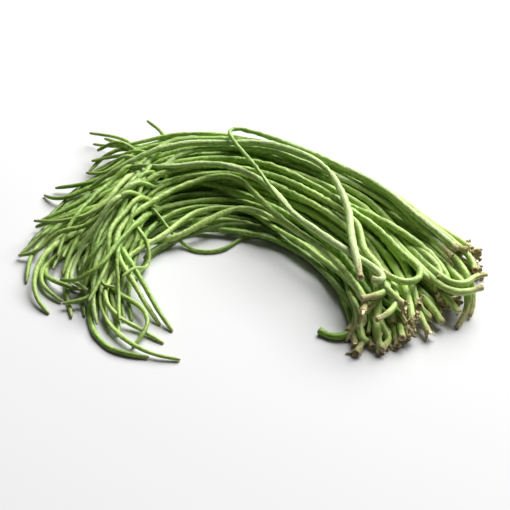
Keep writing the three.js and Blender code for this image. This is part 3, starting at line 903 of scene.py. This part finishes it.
class Wiring:
    """Adds nodes to one node tree and joins them."""

    def __init__(self, tree: bpy.types.NodeTree) -> None:
        """Keeps the tree."""
        self.tree = tree

    def add(self, kind: str, **settings: object) -> bpy.types.Node:
        """Adds a node and sets its own options.

        Args:
            kind: the node's type name.
            settings: options such as operation.

        Returns:
            The node.
        """
        node = self.tree.nodes.new(kind)
        for key, value in settings.items():
            setattr(node, key, value)
        return node

    def feed(self, socket: bpy.types.NodeSocket, value: object) -> None:
        """Joins a socket to another one, or sets its value."""
        if isinstance(value, bpy.types.NodeSocket):
            self.tree.links.new(value, socket)
        else:
            socket.default_value = value

    def sum(
        self, operation: str, first: object, second: object = 0.0, clamp: bool = False
    ) -> bpy.types.NodeSocket:
        """One step of arithmetic.

        Args:
            operation: the Math node's operation.
            first: a socket or a number.
            second: a socket or a number.
            clamp: whether the result stays between 0 and 1.

        Returns:
            The result's socket.
        """
        node = self.add("ShaderNodeMath", operation=operation, use_clamp=clamp)
        self.feed(node.inputs[0], first)
        self.feed(node.inputs[1], second)
        return node.outputs[0]

    def line(self, value: bpy.types.NodeSocket, slope: object, offset: float = 0.0) -> bpy.types.NodeSocket:
        """A straight line of a socket's value: value times slope, plus offset."""
        node = self.add("ShaderNodeMath", operation="MULTIPLY_ADD")
        for socket, number in zip(node.inputs, (value, slope, offset)):
            self.feed(socket, number)
        return node.outputs[0]

    def rise(self, value: bpy.types.NodeSocket, low: float, high: float) -> bpy.types.NodeSocket:
        """A smooth step of a socket's value, from 0 at low to 1 at high."""
        node = self.add("ShaderNodeMapRange", interpolation_type="SMOOTHSTEP")
        self.feed(node.inputs["Value"], value)
        self.feed(node.inputs["From Min"], low)
        self.feed(node.inputs["From Max"], high)
        return node.outputs["Result"]

    def blend(self, share: object, first: object, second: object) -> bpy.types.NodeSocket:
        """Mixes two colours.

        Args:
            share: a socket or a number, 0 for the first colour.
            first: a socket or a colour.
            second: a socket or a colour.

        Returns:
            The mixed colour's socket.
        """
        node = self.add("ShaderNodeMix", data_type="RGBA")
        self.feed(node.inputs["Factor"], share)
        colours = [socket for socket in node.inputs if socket.type == "RGBA"]
        for socket, colour in zip(colours, (first, second)):
            self.feed(socket, colour if isinstance(colour, bpy.types.NodeSocket) else (*colour, 1.0))
        return next(socket for socket in node.outputs if socket.type == "RGBA")

    def read(self, attribute: str, output: str = "Fac") -> bpy.types.NodeSocket:
        """Reads one of the mesh's attributes."""
        return self.add("ShaderNodeAttribute", attribute_name=attribute).outputs[output]

    def use(self, group: bpy.types.NodeTree, **inputs: object) -> bpy.types.Node:
        """Places a shared effect and feeds its named inputs."""
        node = self.add("ShaderNodeGroup", node_tree=group)
        for key, value in inputs.items():
            self.feed(node.inputs[key.replace("_", " ")], value)
        return node


@dataclass(frozen=True)
class SkinPattern:
    """A shared effect: noise in a pod's unrolled place, stretched along or round the pod.

    The mask is a noise of the place, scaled by Across and Along, stepped smoothly about a half by Softness.
    """

    name: str = "skin_pattern"

    def build(self) -> bpy.types.NodeTree:
        """Makes the node group, or finds it if it is there already."""
        found = bpy.data.node_groups.get(self.name)
        if found:
            return found
        tree = bpy.data.node_groups.new(self.name, "ShaderNodeTree")
        for socket, kind, default in (
            ("Place", "NodeSocketVector", None),
            ("Across", "NodeSocketFloat", 0.3),
            ("Along", "NodeSocketFloat", 0.05),
            ("Detail", "NodeSocketFloat", 3.0),
            ("Softness", "NodeSocketFloat", 0.2),
        ):
            made = tree.interface.new_socket(name=socket, in_out="INPUT", socket_type=kind)
            if default is not None:
                made.default_value = default
        tree.interface.new_socket(name="Mask", in_out="OUTPUT", socket_type="NodeSocketFloat")
        tree.interface.new_socket(name="Noise", in_out="OUTPUT", socket_type="NodeSocketFloat")
        wiring = Wiring(tree)
        given = wiring.add("NodeGroupInput").outputs
        scale = wiring.add("ShaderNodeCombineXYZ")
        for axis, name in enumerate(("Across", "Across", "Along")):
            wiring.feed(scale.inputs[axis], given[name])
        placed = wiring.add("ShaderNodeVectorMath", operation="MULTIPLY")
        wiring.feed(placed.inputs[0], given["Place"])
        wiring.feed(placed.inputs[1], scale.outputs[0])
        noise = wiring.add("ShaderNodeTexNoise", noise_dimensions="3D")
        wiring.feed(noise.inputs["Vector"], placed.outputs[0])
        wiring.feed(noise.inputs["Scale"], 1.0)
        wiring.feed(noise.inputs["Detail"], given["Detail"])
        mask = wiring.add("ShaderNodeMapRange", interpolation_type="SMOOTHSTEP")
        wiring.feed(mask.inputs["Value"], noise.outputs["Fac"])
        wiring.feed(mask.inputs["From Min"], wiring.sum("SUBTRACT", 0.5, given["Softness"]))
        wiring.feed(mask.inputs["From Max"], wiring.sum("ADD", 0.5, given["Softness"]))
        out = wiring.add("NodeGroupOutput")
        wiring.feed(out.inputs["Mask"], mask.outputs["Result"])
        wiring.feed(out.inputs["Noise"], noise.outputs["Fac"])
        return tree


# Scale across the pod, scale along it, detail and softness.
Scales = tuple[float, float, float, float]


def patterns(wiring: Wiring, scales: dict[str, Scales]) -> dict[str, bpy.types.Node]:
    """Places one skin pattern for each row of scales.

    Args:
        wiring: the material's wiring.
        scales: each pattern's name and scales.

    Returns:
        The patterns' nodes by name.
    """
    place = wiring.read("unrolled", "Vector")
    group = SkinPattern().build()
    return {
        name: wiring.use(group, Place=place, Across=across, Along=along, Detail=detail, Softness=softness)
        for name, (across, along, detail, softness) in scales.items()
    }


def blank_material(name: str) -> tuple[bpy.types.Material, Wiring, bpy.types.Node]:
    """Makes a material with one principled shader.

    Args:
        name: the material's name.

    Returns:
        The material, its wiring and the shader node.
    """
    material = bpy.data.materials.new(name)
    material.use_nodes = True
    material.node_tree.nodes.clear()
    wiring = Wiring(material.node_tree)
    shader = wiring.add("ShaderNodeBsdfPrincipled")
    out = wiring.add("ShaderNodeOutputMaterial")
    wiring.feed(out.inputs["Surface"], shader.outputs["BSDF"])
    return material, wiring, shader


@dataclass(frozen=True)
class PodSkin:
    """Fresh bean skin: green with lengthwise streaks, paler over the seeds and drier at both ends, with
    painted highlights on its raised dimples and painted glints in its whitish bloom.
    """

    name: str
    deep: Colour
    fresh: Colour
    pale: Colour
    bloom_and_glint: Colour = (0.48, 0.6, 0.22)
    seam: Colour = (0.07, 0.17, 0.015)
    tip: Colour = (0.17, 0.25, 0.05)
    bone: Colour = (0.56, 0.56, 0.27)
    pith: Colour = (0.68, 0.55, 0.33)
    tan: Colour = (0.6, 0.44, 0.23)
    brown: Colour = (0.26, 0.13, 0.05)
    roughness: float = 0.4

    PATTERNS = {
        "streaks": (0.34, 0.028, 3.0, 0.16),
        "patches": (0.05, 0.022, 2.0, 0.14),
        "mottle": (1.1, 0.6, 4.0, 0.1),
        "pores": (2.6, 2.2, 1.0, 0.06),
        "wrinkles": (0.2, 0.55, 3.0, 0.25),
        "dimples_and_glints": (0.42, 0.26, 3.0, 0.14),
    }

    def material(self) -> bpy.types.Material:
        """Builds the finish.

        Returns:
            The material.
        """
        material, wiring, shader = blank_material(self.name)
        streaks, patches, mottle, pores, wrinkles, dimples_and_glints = patterns(wiring, self.PATTERNS).values()

        green = wiring.blend(streaks.outputs["Mask"], self.deep, self.fresh)
        light = wiring.line(patches.outputs["Mask"], 0.4, -0.2)
        light = wiring.sum("ADD", light, wiring.line(wiring.read("swell"), 0.2))
        # Paler where the dimples stand up: partly skin mottling, partly a painted highlight on the raised
        # bumps.
        light = wiring.sum("ADD", light, wiring.line(dimples_and_glints.outputs["Mask"], 0.5, -0.2))
        # The tone adds paleness: the pod's own random tone, with painted light or painted shade towards the
        # stalk.
        light = wiring.sum("ADD", light, wiring.line(wiring.read("tone"), 0.9), clamp=True)
        green = wiring.blend(light, green, self.pale)
        # Whitish mottle, more on paler pods: partly the skin's waxy bloom, partly painted glints of light on
        # its bumps.
        bloom_and_glint_share = wiring.sum("MULTIPLY", mottle.outputs["Mask"], wiring.line(wiring.read("tone"), 0.4, 0.1))
        green = wiring.blend(bloom_and_glint_share, green, self.bloom_and_glint)
        green = wiring.blend(wiring.line(pores.outputs["Mask"], 0.14), green, self.deep)
        green = wiring.blend(wiring.line(wiring.read("seam"), 0.3), green, self.seam)

        tip = wiring.read("tip")
        green = wiring.blend(wiring.line(wiring.rise(tip, 0.2, 1.0), 0.45), green, self.tip)
        edge = wiring.line(mottle.outputs["Noise"], 0.9, -0.45)
        dry = wiring.rise(wiring.sum("ADD", wiring.read("dry"), edge), 0.2, 1.0)
        green = wiring.blend(wiring.line(dry, 0.85), green, self.bone)
        cut = wiring.read("cut")
        middle = wiring.rise(wiring.sum("ADD", cut, wiring.line(edge, 0.5)), 0.35, 0.95)
        face = wiring.blend(middle, self.pith, self.brown)
        scorched = wiring.rise(wiring.sum("ADD", tip, wiring.line(edge, 0.006)), 0.992, 1.002)
        straw = wiring.blend(mottle.outputs["Mask"], self.tan, self.brown)
        frayed = wiring.rise(wiring.sum("ADD", wiring.read("dry"), edge), 0.75, 1.15)
        colour = wiring.blend(wiring.line(frayed, 0.6), green, straw)
        colour = wiring.blend(wiring.rise(cut, 0.03, 0.15), colour, face)
        colour = wiring.blend(wiring.line(scorched, 0.4), colour, straw)
        wiring.feed(shader.inputs["Base Color"], colour)

        rough = wiring.line(mottle.outputs["Mask"], 0.14, self.roughness)
        rough = wiring.sum("ADD", rough, wiring.line(dry, 0.3), clamp=True)
        wiring.feed(shader.inputs["Roughness"], rough)
        height = wiring.line(wrinkles.outputs["Noise"], 1.0)
        height = wiring.sum("ADD", height, wiring.line(dimples_and_glints.outputs["Noise"], 2.0))
        height = wiring.sum("ADD", height, wiring.line(mottle.outputs["Noise"], 0.35))
        rugged = wiring.line(wiring.sum("MULTIPLY", mottle.outputs["Mask"], dry), 1.0)
        bump = wiring.add("ShaderNodeBump")
        wiring.feed(bump.inputs["Height"], wiring.sum("ADD", height, rugged))
        wiring.feed(bump.inputs["Distance"], 0.6 * MM)
        wiring.feed(bump.inputs["Strength"], 0.6)
        wiring.feed(shader.inputs["Normal"], bump.outputs["Normal"])
        shader.inputs["Specular IOR Level"].default_value = 0.48
        return material


@dataclass(frozen=True)
class DriedStalk:
    """Dried stalk and calyx: straw to brown, dull and rough."""

    name: str = "dried_stalk"
    straw: Colour = (0.84, 0.76, 0.48)
    tan: Colour = (0.7, 0.53, 0.27)
    green: Colour = (0.45, 0.55, 0.2)
    dark: Colour = (0.2, 0.1, 0.045)

    PATTERNS = {
        "blotches": (0.45, 0.3, 3.0, 0.14),
        "fibres": (1.6, 0.3, 4.0, 0.2),
        "pits": (1.1, 1.0, 5.0, 0.1),
    }

    def material(self) -> bpy.types.Material:
        """Builds the finish.

        Returns:
            The material.
        """
        material, wiring, shader = blank_material(self.name)
        blotches, fibres, pits = patterns(wiring, self.PATTERNS).values()
        colour = wiring.blend(wiring.rise(wiring.read("age"), 0.4, 1.2), self.straw, self.tan)
        colour = wiring.blend(wiring.line(blotches.outputs["Mask"], 0.55), colour, self.green)
        colour = wiring.blend(wiring.line(fibres.outputs["Mask"], 0.35), colour, self.tan)
        burnt = wiring.sum("MULTIPLY", wiring.read("rim"), wiring.line(pits.outputs["Noise"], 0.9))
        burnt = wiring.sum("ADD", burnt, wiring.line(pits.outputs["Mask"], 0.16), clamp=True)
        colour = wiring.blend(burnt, colour, self.dark)
        wiring.feed(shader.inputs["Base Color"], colour)
        shader.inputs["Roughness"].default_value = 0.8
        bump = wiring.add("ShaderNodeBump")
        wiring.feed(bump.inputs["Height"], wiring.sum("ADD", fibres.outputs["Noise"], pits.outputs["Noise"]))
        wiring.feed(bump.inputs["Distance"], 0.8 * MM)
        wiring.feed(bump.inputs["Strength"], 0.8)
        wiring.feed(shader.inputs["Normal"], bump.outputs["Normal"])
        shader.inputs["Specular IOR Level"].default_value = 0.3
        return material


# The shaded_pod skin is a darker copy of the green skin, for pods that the frame gives that slot and for pods
# between low pods: painted shade.
SKINS = {
    slot: PodSkin(slot + "_skin", deep, fresh, pale)
    for slot, deep, fresh, pale in (
        ("green_pod", (0.1, 0.22, 0.014), (0.23, 0.41, 0.034), (0.5, 0.68, 0.17)),
        ("pale_pod", (0.2, 0.35, 0.05), (0.35, 0.54, 0.13), (0.6, 0.73, 0.34)),
        ("shaded_pod", (0.05, 0.12, 0.008), (0.11, 0.22, 0.02), (0.24, 0.38, 0.07)),
    )
}


# ---------------------------------------------------------------- the bunch


@dataclass
class Bunch:
    """All the pods with their dried sprays."""

    frame: dict
    rng: np.random.Generator
    view: View
    skins: dict[str, bpy.types.Material] = field(default_factory=dict)
    lines: dict[str, Centreline] = field(default_factory=dict)
    characters: dict[str, PodCharacter] = field(default_factory=dict)

    # Pods on the inside of the bend are painted a deeper green towards the stalk, where most others are
    # painted paler: painted shade on the shaded inside face of the bend, against painted light on the arm of
    # stalk ends.
    SHADE_PAINTED_PODS = "inner_pod"
    SHADE_PAINTED_BY = -0.3

    # Pods between others are swept more coarsely than the frame's, and short stalk ends more finely.
    COARSE = {"step": 2.8 * MM, "sides": 14}
    FINE = {"softness": 2.0 * MM, "step": 1.6 * MM}

    # Stalk ends that aren't left to chance.
    KNOWN_ENDS = {
        **{f"crossing_pod_{number:02d}": StalkEnd.CUT for number in range(1, 6)},
        **{f"crown_pod_{number:02d}": StalkEnd.CUT for number in (3, 7, 8, 9)},
        **{f"crown_pod_{number:02d}": StalkEnd.WITHERED for number in (1, 2)},
        "inner_pod_01": StalkEnd.FRESH,
        "inner_pod_02": StalkEnd.CUT,
    }

    # Pods that more pods may lie between, and how many pairs of them are picked by closeness. More pairs,
    # inside the bend, are named. A pod between lies lower by a drop, along a share of the pair's lengths.
    BEDS = ("table_pod", "fan_pod")
    BETWEEN = 18
    DROP = 2.5 * MM
    COMPARED_AT = np.linspace(0.1, 0.9, 17)
    START_SHARES = (0.0, 0.03)
    STOP_SHARES = (0.72, 1.0)
    POINTS_BETWEEN = 40
    # Pods between pods whose names start with these get the shaded skin: painted shade low in the heap and
    # inside the bend.
    SHADE_PAINTED_BEDS = ("table_pod", "inner_pod")
    INSIDE_OF_BEND = (
        ("inner_pod_03", "inner_pod_10"),
        ("inner_pod_03", "table_pod_01"),
        ("inner_pod_01", "inner_pod_05"),
        ("inner_pod_04", "table_pod_02"),
    )

    # Places in the view that loose pods pass, as View.plan takes them, and where on the plan, in
    # millimetres, some of these pods start further inside the heap.
    LOOSE = (
        (
            (185, 138, 52), (155, 158, 48), (138.6, 189, 42), (131.4, 217.9, 34), (124.3, 240, 26),
            (119, 268, 14), (118, 300, 5), (120, 326, 3),
        ),
        (
            (175, 146, 50), (140, 180, 44), (112, 212, 36), (98.6, 236, 28), (95.7, 255, 20),
            (90, 275, 14), (81.4, 296, 8),
        ),
        ((165, 160, 46), (127, 200, 38), (113, 230, 30), (104, 252, 22), (92, 270, 14), (78, 284, 8)),
        ((150, 180, 40), (120, 205, 34), (92, 214, 28), (65.7, 225, 18), (36, 230, 8)),
        ((160, 140, 48), (125, 165, 40), (98, 190, 32), (80, 214, 24), (66, 238, 14), (58, 262, 6)),
        ((140, 196, 38), (104, 217, 30), (78.6, 229, 22), (53, 242, 12), (30, 256, 5), (19, 256, 3)),
        ((150, 190, 38), (124, 222, 30), (110, 246, 24), (108, 268, 16), (102, 290, 8), (90, 312, 3)),
        ((130, 200, 36), (98, 228, 28), (80, 250, 18), (72, 272, 8), (76, 290, 4), (88, 298, 3)),
        ((150, 210, 26), (132, 240, 18), (118, 262, 12), (100, 284, 8), (78, 292, 4), (62, 288, 3)),
        ((138, 240, 10), (150.7, 258, 4), (142.9, 275, 4), (124, 292, 4)),
        ((190, 134, 52), (160, 138, 46), (130, 144, 38), (108, 150, 26), (92, 162, 14)),
        ((180, 140, 50), (146, 148, 42), (118, 154, 30), (100, 164, 20), (88, 172, 10)),
        ((170, 134, 50), (140, 137, 42), (118, 141, 32), (98, 150, 20)),
    )
    LOOSE_STARTS = {4: (-80, 68), 6: (-78, 42), 7: (-83, 58), 8: (-98, 40), 9: (-87, 42), 10: (-128, 14)}
    LOOSE_RADIUS = 3.0 * MM
    LOOSE_TAPER = 0.4
    PALE_EVERY = 4
    PLUNGE = 30.0 * MM
    HIDDEN = 64.0 * MM

    # Places in the view that added stalk ends pass, from the end inwards, as View.plan takes them.
    STALK_ENDS = (
        ((351.7, 335.6, 4), (356, 327.8, 10), (359, 317.8, 14), (352, 298, 14)),
        ((366.7, 342, 5), (361.7, 337.8, 8), (360, 327.8, 12), (356, 308, 12)),
        ((355.6, 353, 3), (358.9, 348.9, 4), (361.7, 343, 5), (362, 328, 6)),
        ((381, 351, 4), (379.4, 340, 9), (378, 331, 14), (372, 312, 14)),
        ((382, 349.4, 6), (389, 337.8, 10), (384.4, 328.9, 14), (376, 310, 15)),
        ((398, 345.6, 4), (397, 340, 5), (395.6, 334, 6), (388, 316, 8)),
        ((429.4, 317.8, 8), (423.9, 311, 13), (417.2, 302, 18), (404, 284, 18)),
        ((441, 278.9, 30), (438.3, 267.8, 32), (430.6, 258.9, 34), (414, 246, 32)),
        ((439.4, 287.8, 22), (432.8, 282, 26), (423.9, 274.4, 30), (410, 260, 30)),
        ((403.9, 306.7, 26), (395, 296.7, 32), (387.2, 288.9, 36), (378, 272, 36)),
        ((360.6, 311, 26), (368.3, 306.7, 24), (378, 300, 24), (382, 286, 22)),
        ((450, 302, 14), (444, 294, 20), (436, 286, 24), (420, 270, 24)),
        ((440, 312, 7), (434, 304, 12), (426, 296, 16), (410, 280, 16)),
        ((458, 300, 12), (453, 291, 18), (446, 281, 22), (430, 264, 22)),
    )
    STALK_END_RADIUS = 3.0 * MM

    # How many dried flaps a tuft has, and how many old flower stubs each stalk end has, by the number in its
    # name.
    FLAPS = 4
    STUBS = {
        "fan_pod": {3: 4, 4: 5, 5: 6, 6: 5, 7: 4, 10: 5, 11: 6, 12: 4},
        "heart_pod": {2: 4, 3: 4, 5: 4, 6: 3, 7: 5, 8: 4},
        "table_pod": {2: 5, 3: 4, 4: 3, 6: 4, 7: 6, 8: 6, 9: 5, 10: 3, 11: 3},
        "inner_pod": {10: 5},
        "bean_end": {9: 5, 10: 3, 12: 7, 13: 6, 14: 6},
    }

    def build_pods(self) -> None:
        """Sweeps a detailed pod along each solid and dresses it."""
        slots = {row["node"]: row["material_slot"] for row in self.frame["record"]["subparts"]}
        self.skins = {slot: skin.material() for slot, skin in SKINS.items()}
        for node in sorted(self.frame["nodes"]):
            self.lines[node] = Centreline.of_solid(self.frame["nodes"][node])
            self.characters[node] = PodCharacter.draw(self.rng, self.KNOWN_ENDS.get(node))
            pod = BeanPod("bean_" + node, self.lines[node], self.characters[node])
            # Painted shade: pods inside the bend darken towards the stalk instead of paling.
            if node.startswith(self.SHADE_PAINTED_PODS):
                pod.stalk_painted_light = self.SHADE_PAINTED_BY
            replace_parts(self._dress(pod, slots[node]), node)

    def _dress(self, pod: BeanPod, slot: str) -> bpy.types.Object:
        """Builds a pod's piece, gives it the skin of its slot and attaches it to its body."""
        piece = build_piece(pod.name, [pod.build()])
        piece.data.materials.append(self.skins[slot])
        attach(piece, BODY)
        LOG.info("%s: %.0f mm, %s", piece.name, pod.line.length / MM, pod.character.end.name)
        return piece

    def _neighbours(self) -> list[tuple[str, str]]:
        """The pairs of bedded pods that run closest together, each pod at most twice, and the named pairs."""
        names = [name for name in self.lines if name.startswith(self.BEDS)]
        runs = np.stack([self.lines[name].at_shares(self.COMPARED_AT).points for name in names])
        gaps = np.linalg.norm(runs[:, None] - runs[None], axis=3).mean(axis=2)
        first, second = np.triu_indices(len(names), 1)
        uses = dict.fromkeys(names, 0)
        pairs = []
        for k in np.argsort(gaps[first, second], kind="stable"):
            pair = (names[first[k]], names[second[k]])
            if len(pairs) < self.BETWEEN and max(uses[name] for name in pair) < 2:
                pairs.append(pair)
                for name in pair:
                    uses[name] += 1
        return pairs + list(self.INSIDE_OF_BEND)

    def build_between(self) -> None:
        """Fills the bunch with more pods, which lie between and just under neighbours of the frame."""
        for number, (one, other) in enumerate(self._neighbours(), 1):
            start, stop = self.rng.uniform(*self.START_SHARES), self.rng.uniform(*self.STOP_SHARES)
            shares = np.linspace(start, stop, self.POINTS_BETWEEN)
            line = self.lines[one].between(self.lines[other], shares, self.DROP)
            name = f"bean_between_{number:02d}"
            # Painted shade: pods between low pods take the darker shaded skin.
            slot = "shaded_pod" if one.startswith(self.SHADE_PAINTED_BEDS) else "green_pod"
            self._dress(BeanPod(name, line, PodCharacter.draw(self.rng), **self.COARSE), slot)

    def build_loose(self) -> None:
        """Lays more pods over the fan of tips; each comes out of the heap and rests on what lies there."""
        heap = Heap.of([line.curved(BeanPod.softness) for line in self.lines.values()])
        for number, way in enumerate(self.LOOSE, 1):
            plan = self.view.plan(way)[:, :2]
            if number in self.LOOSE_STARTS:
                plan = np.vstack([np.array(self.LOOSE_STARTS[number], float) * MM, plan])
            plan = np.column_stack([plan, np.zeros(len(plan))])
            share = np.linspace(0.0, 1.0, len(plan))
            flat = Centreline(plan, self.LOOSE_RADIUS * (1 - self.LOOSE_TAPER * share))
            line = heap.laid(flat, self.PLUNGE, self.HIDDEN)
            heap.add(line)
            pod = BeanPod(f"bean_loose_{number:02d}", line, PodCharacter.draw(self.rng, StalkEnd.FRESH))
            # Loose pods get neither the thicker stalk half nor the painted light towards the stalk.
            pod.stalk_half_swell = pod.stalk_painted_light = 0.0
            self._dress(pod, "green_pod" if number % self.PALE_EVERY else "pale_pod")

    def build_stalk_ends(self) -> None:
        """Adds short stretches of pod between the stalk ends, each with its own end and its rest hidden."""
        for number, way in enumerate(self.STALK_ENDS, 1):
            points = self.view.plan(way)
            line = Centreline(points, np.full(len(way), self.STALK_END_RADIUS))
            name = f"bean_end_{number:02d}"
            self.lines[name] = line
            self.characters[name] = PodCharacter.draw(self.rng)
            pod = BeanPod(name, line, self.characters[name], **self.FINE)
            self._dress(pod, "green_pod")

    def build_sprays(self) -> None:
        """Puts dried flaps and stubs on the stalk ends that have them."""
        material = DriedStalk().material()
        for node, who in self.characters.items():
            kind, number = node.rsplit("_", 1)
            stubs = self.STUBS.get(kind, {}).get(int(number), 0)
            if not stubs and who.end is not StalkEnd.CALYX:
                continue
            root, inside = self.lines[node].points[:2]
            direction = (root - inside) / np.linalg.norm(root - inside)
            spray = DriedSpray("dried_spray_" + node, root, direction, self.FLAPS, stubs)
            piece = build_piece(spray.name, spray.build(self.rng))
            piece.data.materials.append(material)
            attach(piece, BODY)
            LOG.info("%s: %d flaps, %d stubs", piece.name, self.FLAPS, stubs)


# ---------------------------------------------------------------- studio


@dataclass
class Studio:
    """A plain pale floor, soft light and the camera."""

    view: View
    sensor: float = 36.0
    floor_size: float = 8.0
    floor_colour: Colour = (0.65, 0.65, 0.65)
    faint_light: float = 0.05
    key_place: tuple[float, float, float] = (1.7, 2.5, 2.8)
    key_size: float = 3.2
    key_watts: float = 444.0

    def build_floor(self) -> None:
        """Lays a level square under the bunch."""
        half = self.floor_size / 2
        corners = [(-half, -half, 0.0), (half, -half, 0.0), (half, half, 0.0), (-half, half, 0.0)]
        mesh = bpy.data.meshes.new("floor")
        mesh.from_pydata(corners, [], [(0, 1, 2, 3)])
        floor = add_object("floor", mesh)
        material, _, shader = blank_material("pale_floor")
        shader.inputs["Base Color"].default_value = (*self.floor_colour, 1.0)
        shader.inputs["Roughness"].default_value = 0.85
        shader.inputs["Specular IOR Level"].default_value = 0.1
        floor.data.materials.append(material)

    def build_light(self, name: str, place: Vector, size: float, watts: float) -> None:
        """Hangs a square soft light that faces the bunch.

        Args:
            name: the light's name.
            place: where it hangs, from the point that the camera aims at.
            size: the length of its sides.
            watts: its power.
        """
        data = bpy.data.lights.new(name, "AREA")
        data.shape = "SQUARE"
        data.size = size
        data.energy = watts
        light = add_object(name, data)
        light.location = Vector(self.view.aim) + place
        light.rotation_euler = (-place).to_track_quat("-Z", "Y").to_euler()

    def build_camera(self) -> None:
        """Stands the camera in front, looking down on the bunch."""
        data = bpy.data.cameras.new("camera")
        data.sensor_width = self.sensor
        data.lens = self.sensor * self.view.distance / self.view.width
        data.shift_y = -self.view.raised / self.view.pixels
        camera = add_object("camera", data)
        back = Vector(self.view.back)
        camera.location = Vector(self.view.aim) + back * self.view.distance
        camera.rotation_euler = (-back).to_track_quat("-Z", "Y").to_euler()
        bpy.context.scene.camera = camera

    def build_surroundings(self) -> None:
        """Surrounds the studio with faint white light."""
        world = bpy.data.worlds.new("surroundings")
        world.use_nodes = True
        background = world.node_tree.nodes["Background"]
        background.inputs["Color"].default_value = (1.0, 1.0, 1.0, 1.0)
        background.inputs["Strength"].default_value = self.faint_light
        bpy.context.scene.world = world

    def build(self) -> None:
        """Builds the floor, the light, the surroundings and the camera."""
        self.build_floor()
        self.build_light("key_light", Vector(self.key_place), self.key_size, self.key_watts)
        self.build_surroundings()
        bpy.context.scene.view_settings.view_transform = "Standard"
        self.build_camera()


def main() -> None:
    """Builds the bunch around the frame, then the studio."""
    logging.basicConfig(level=logging.INFO, format="%(message)s")
    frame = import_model()
    view = View()
    bunch = Bunch(frame, np.random.default_rng(SEED), view)
    bunch.build_pods()
    bunch.build_between()
    bunch.build_loose()
    bunch.build_stalk_ends()
    bunch.build_sprays()
    Studio(view).build()


if __name__ == "__main__":
    main()
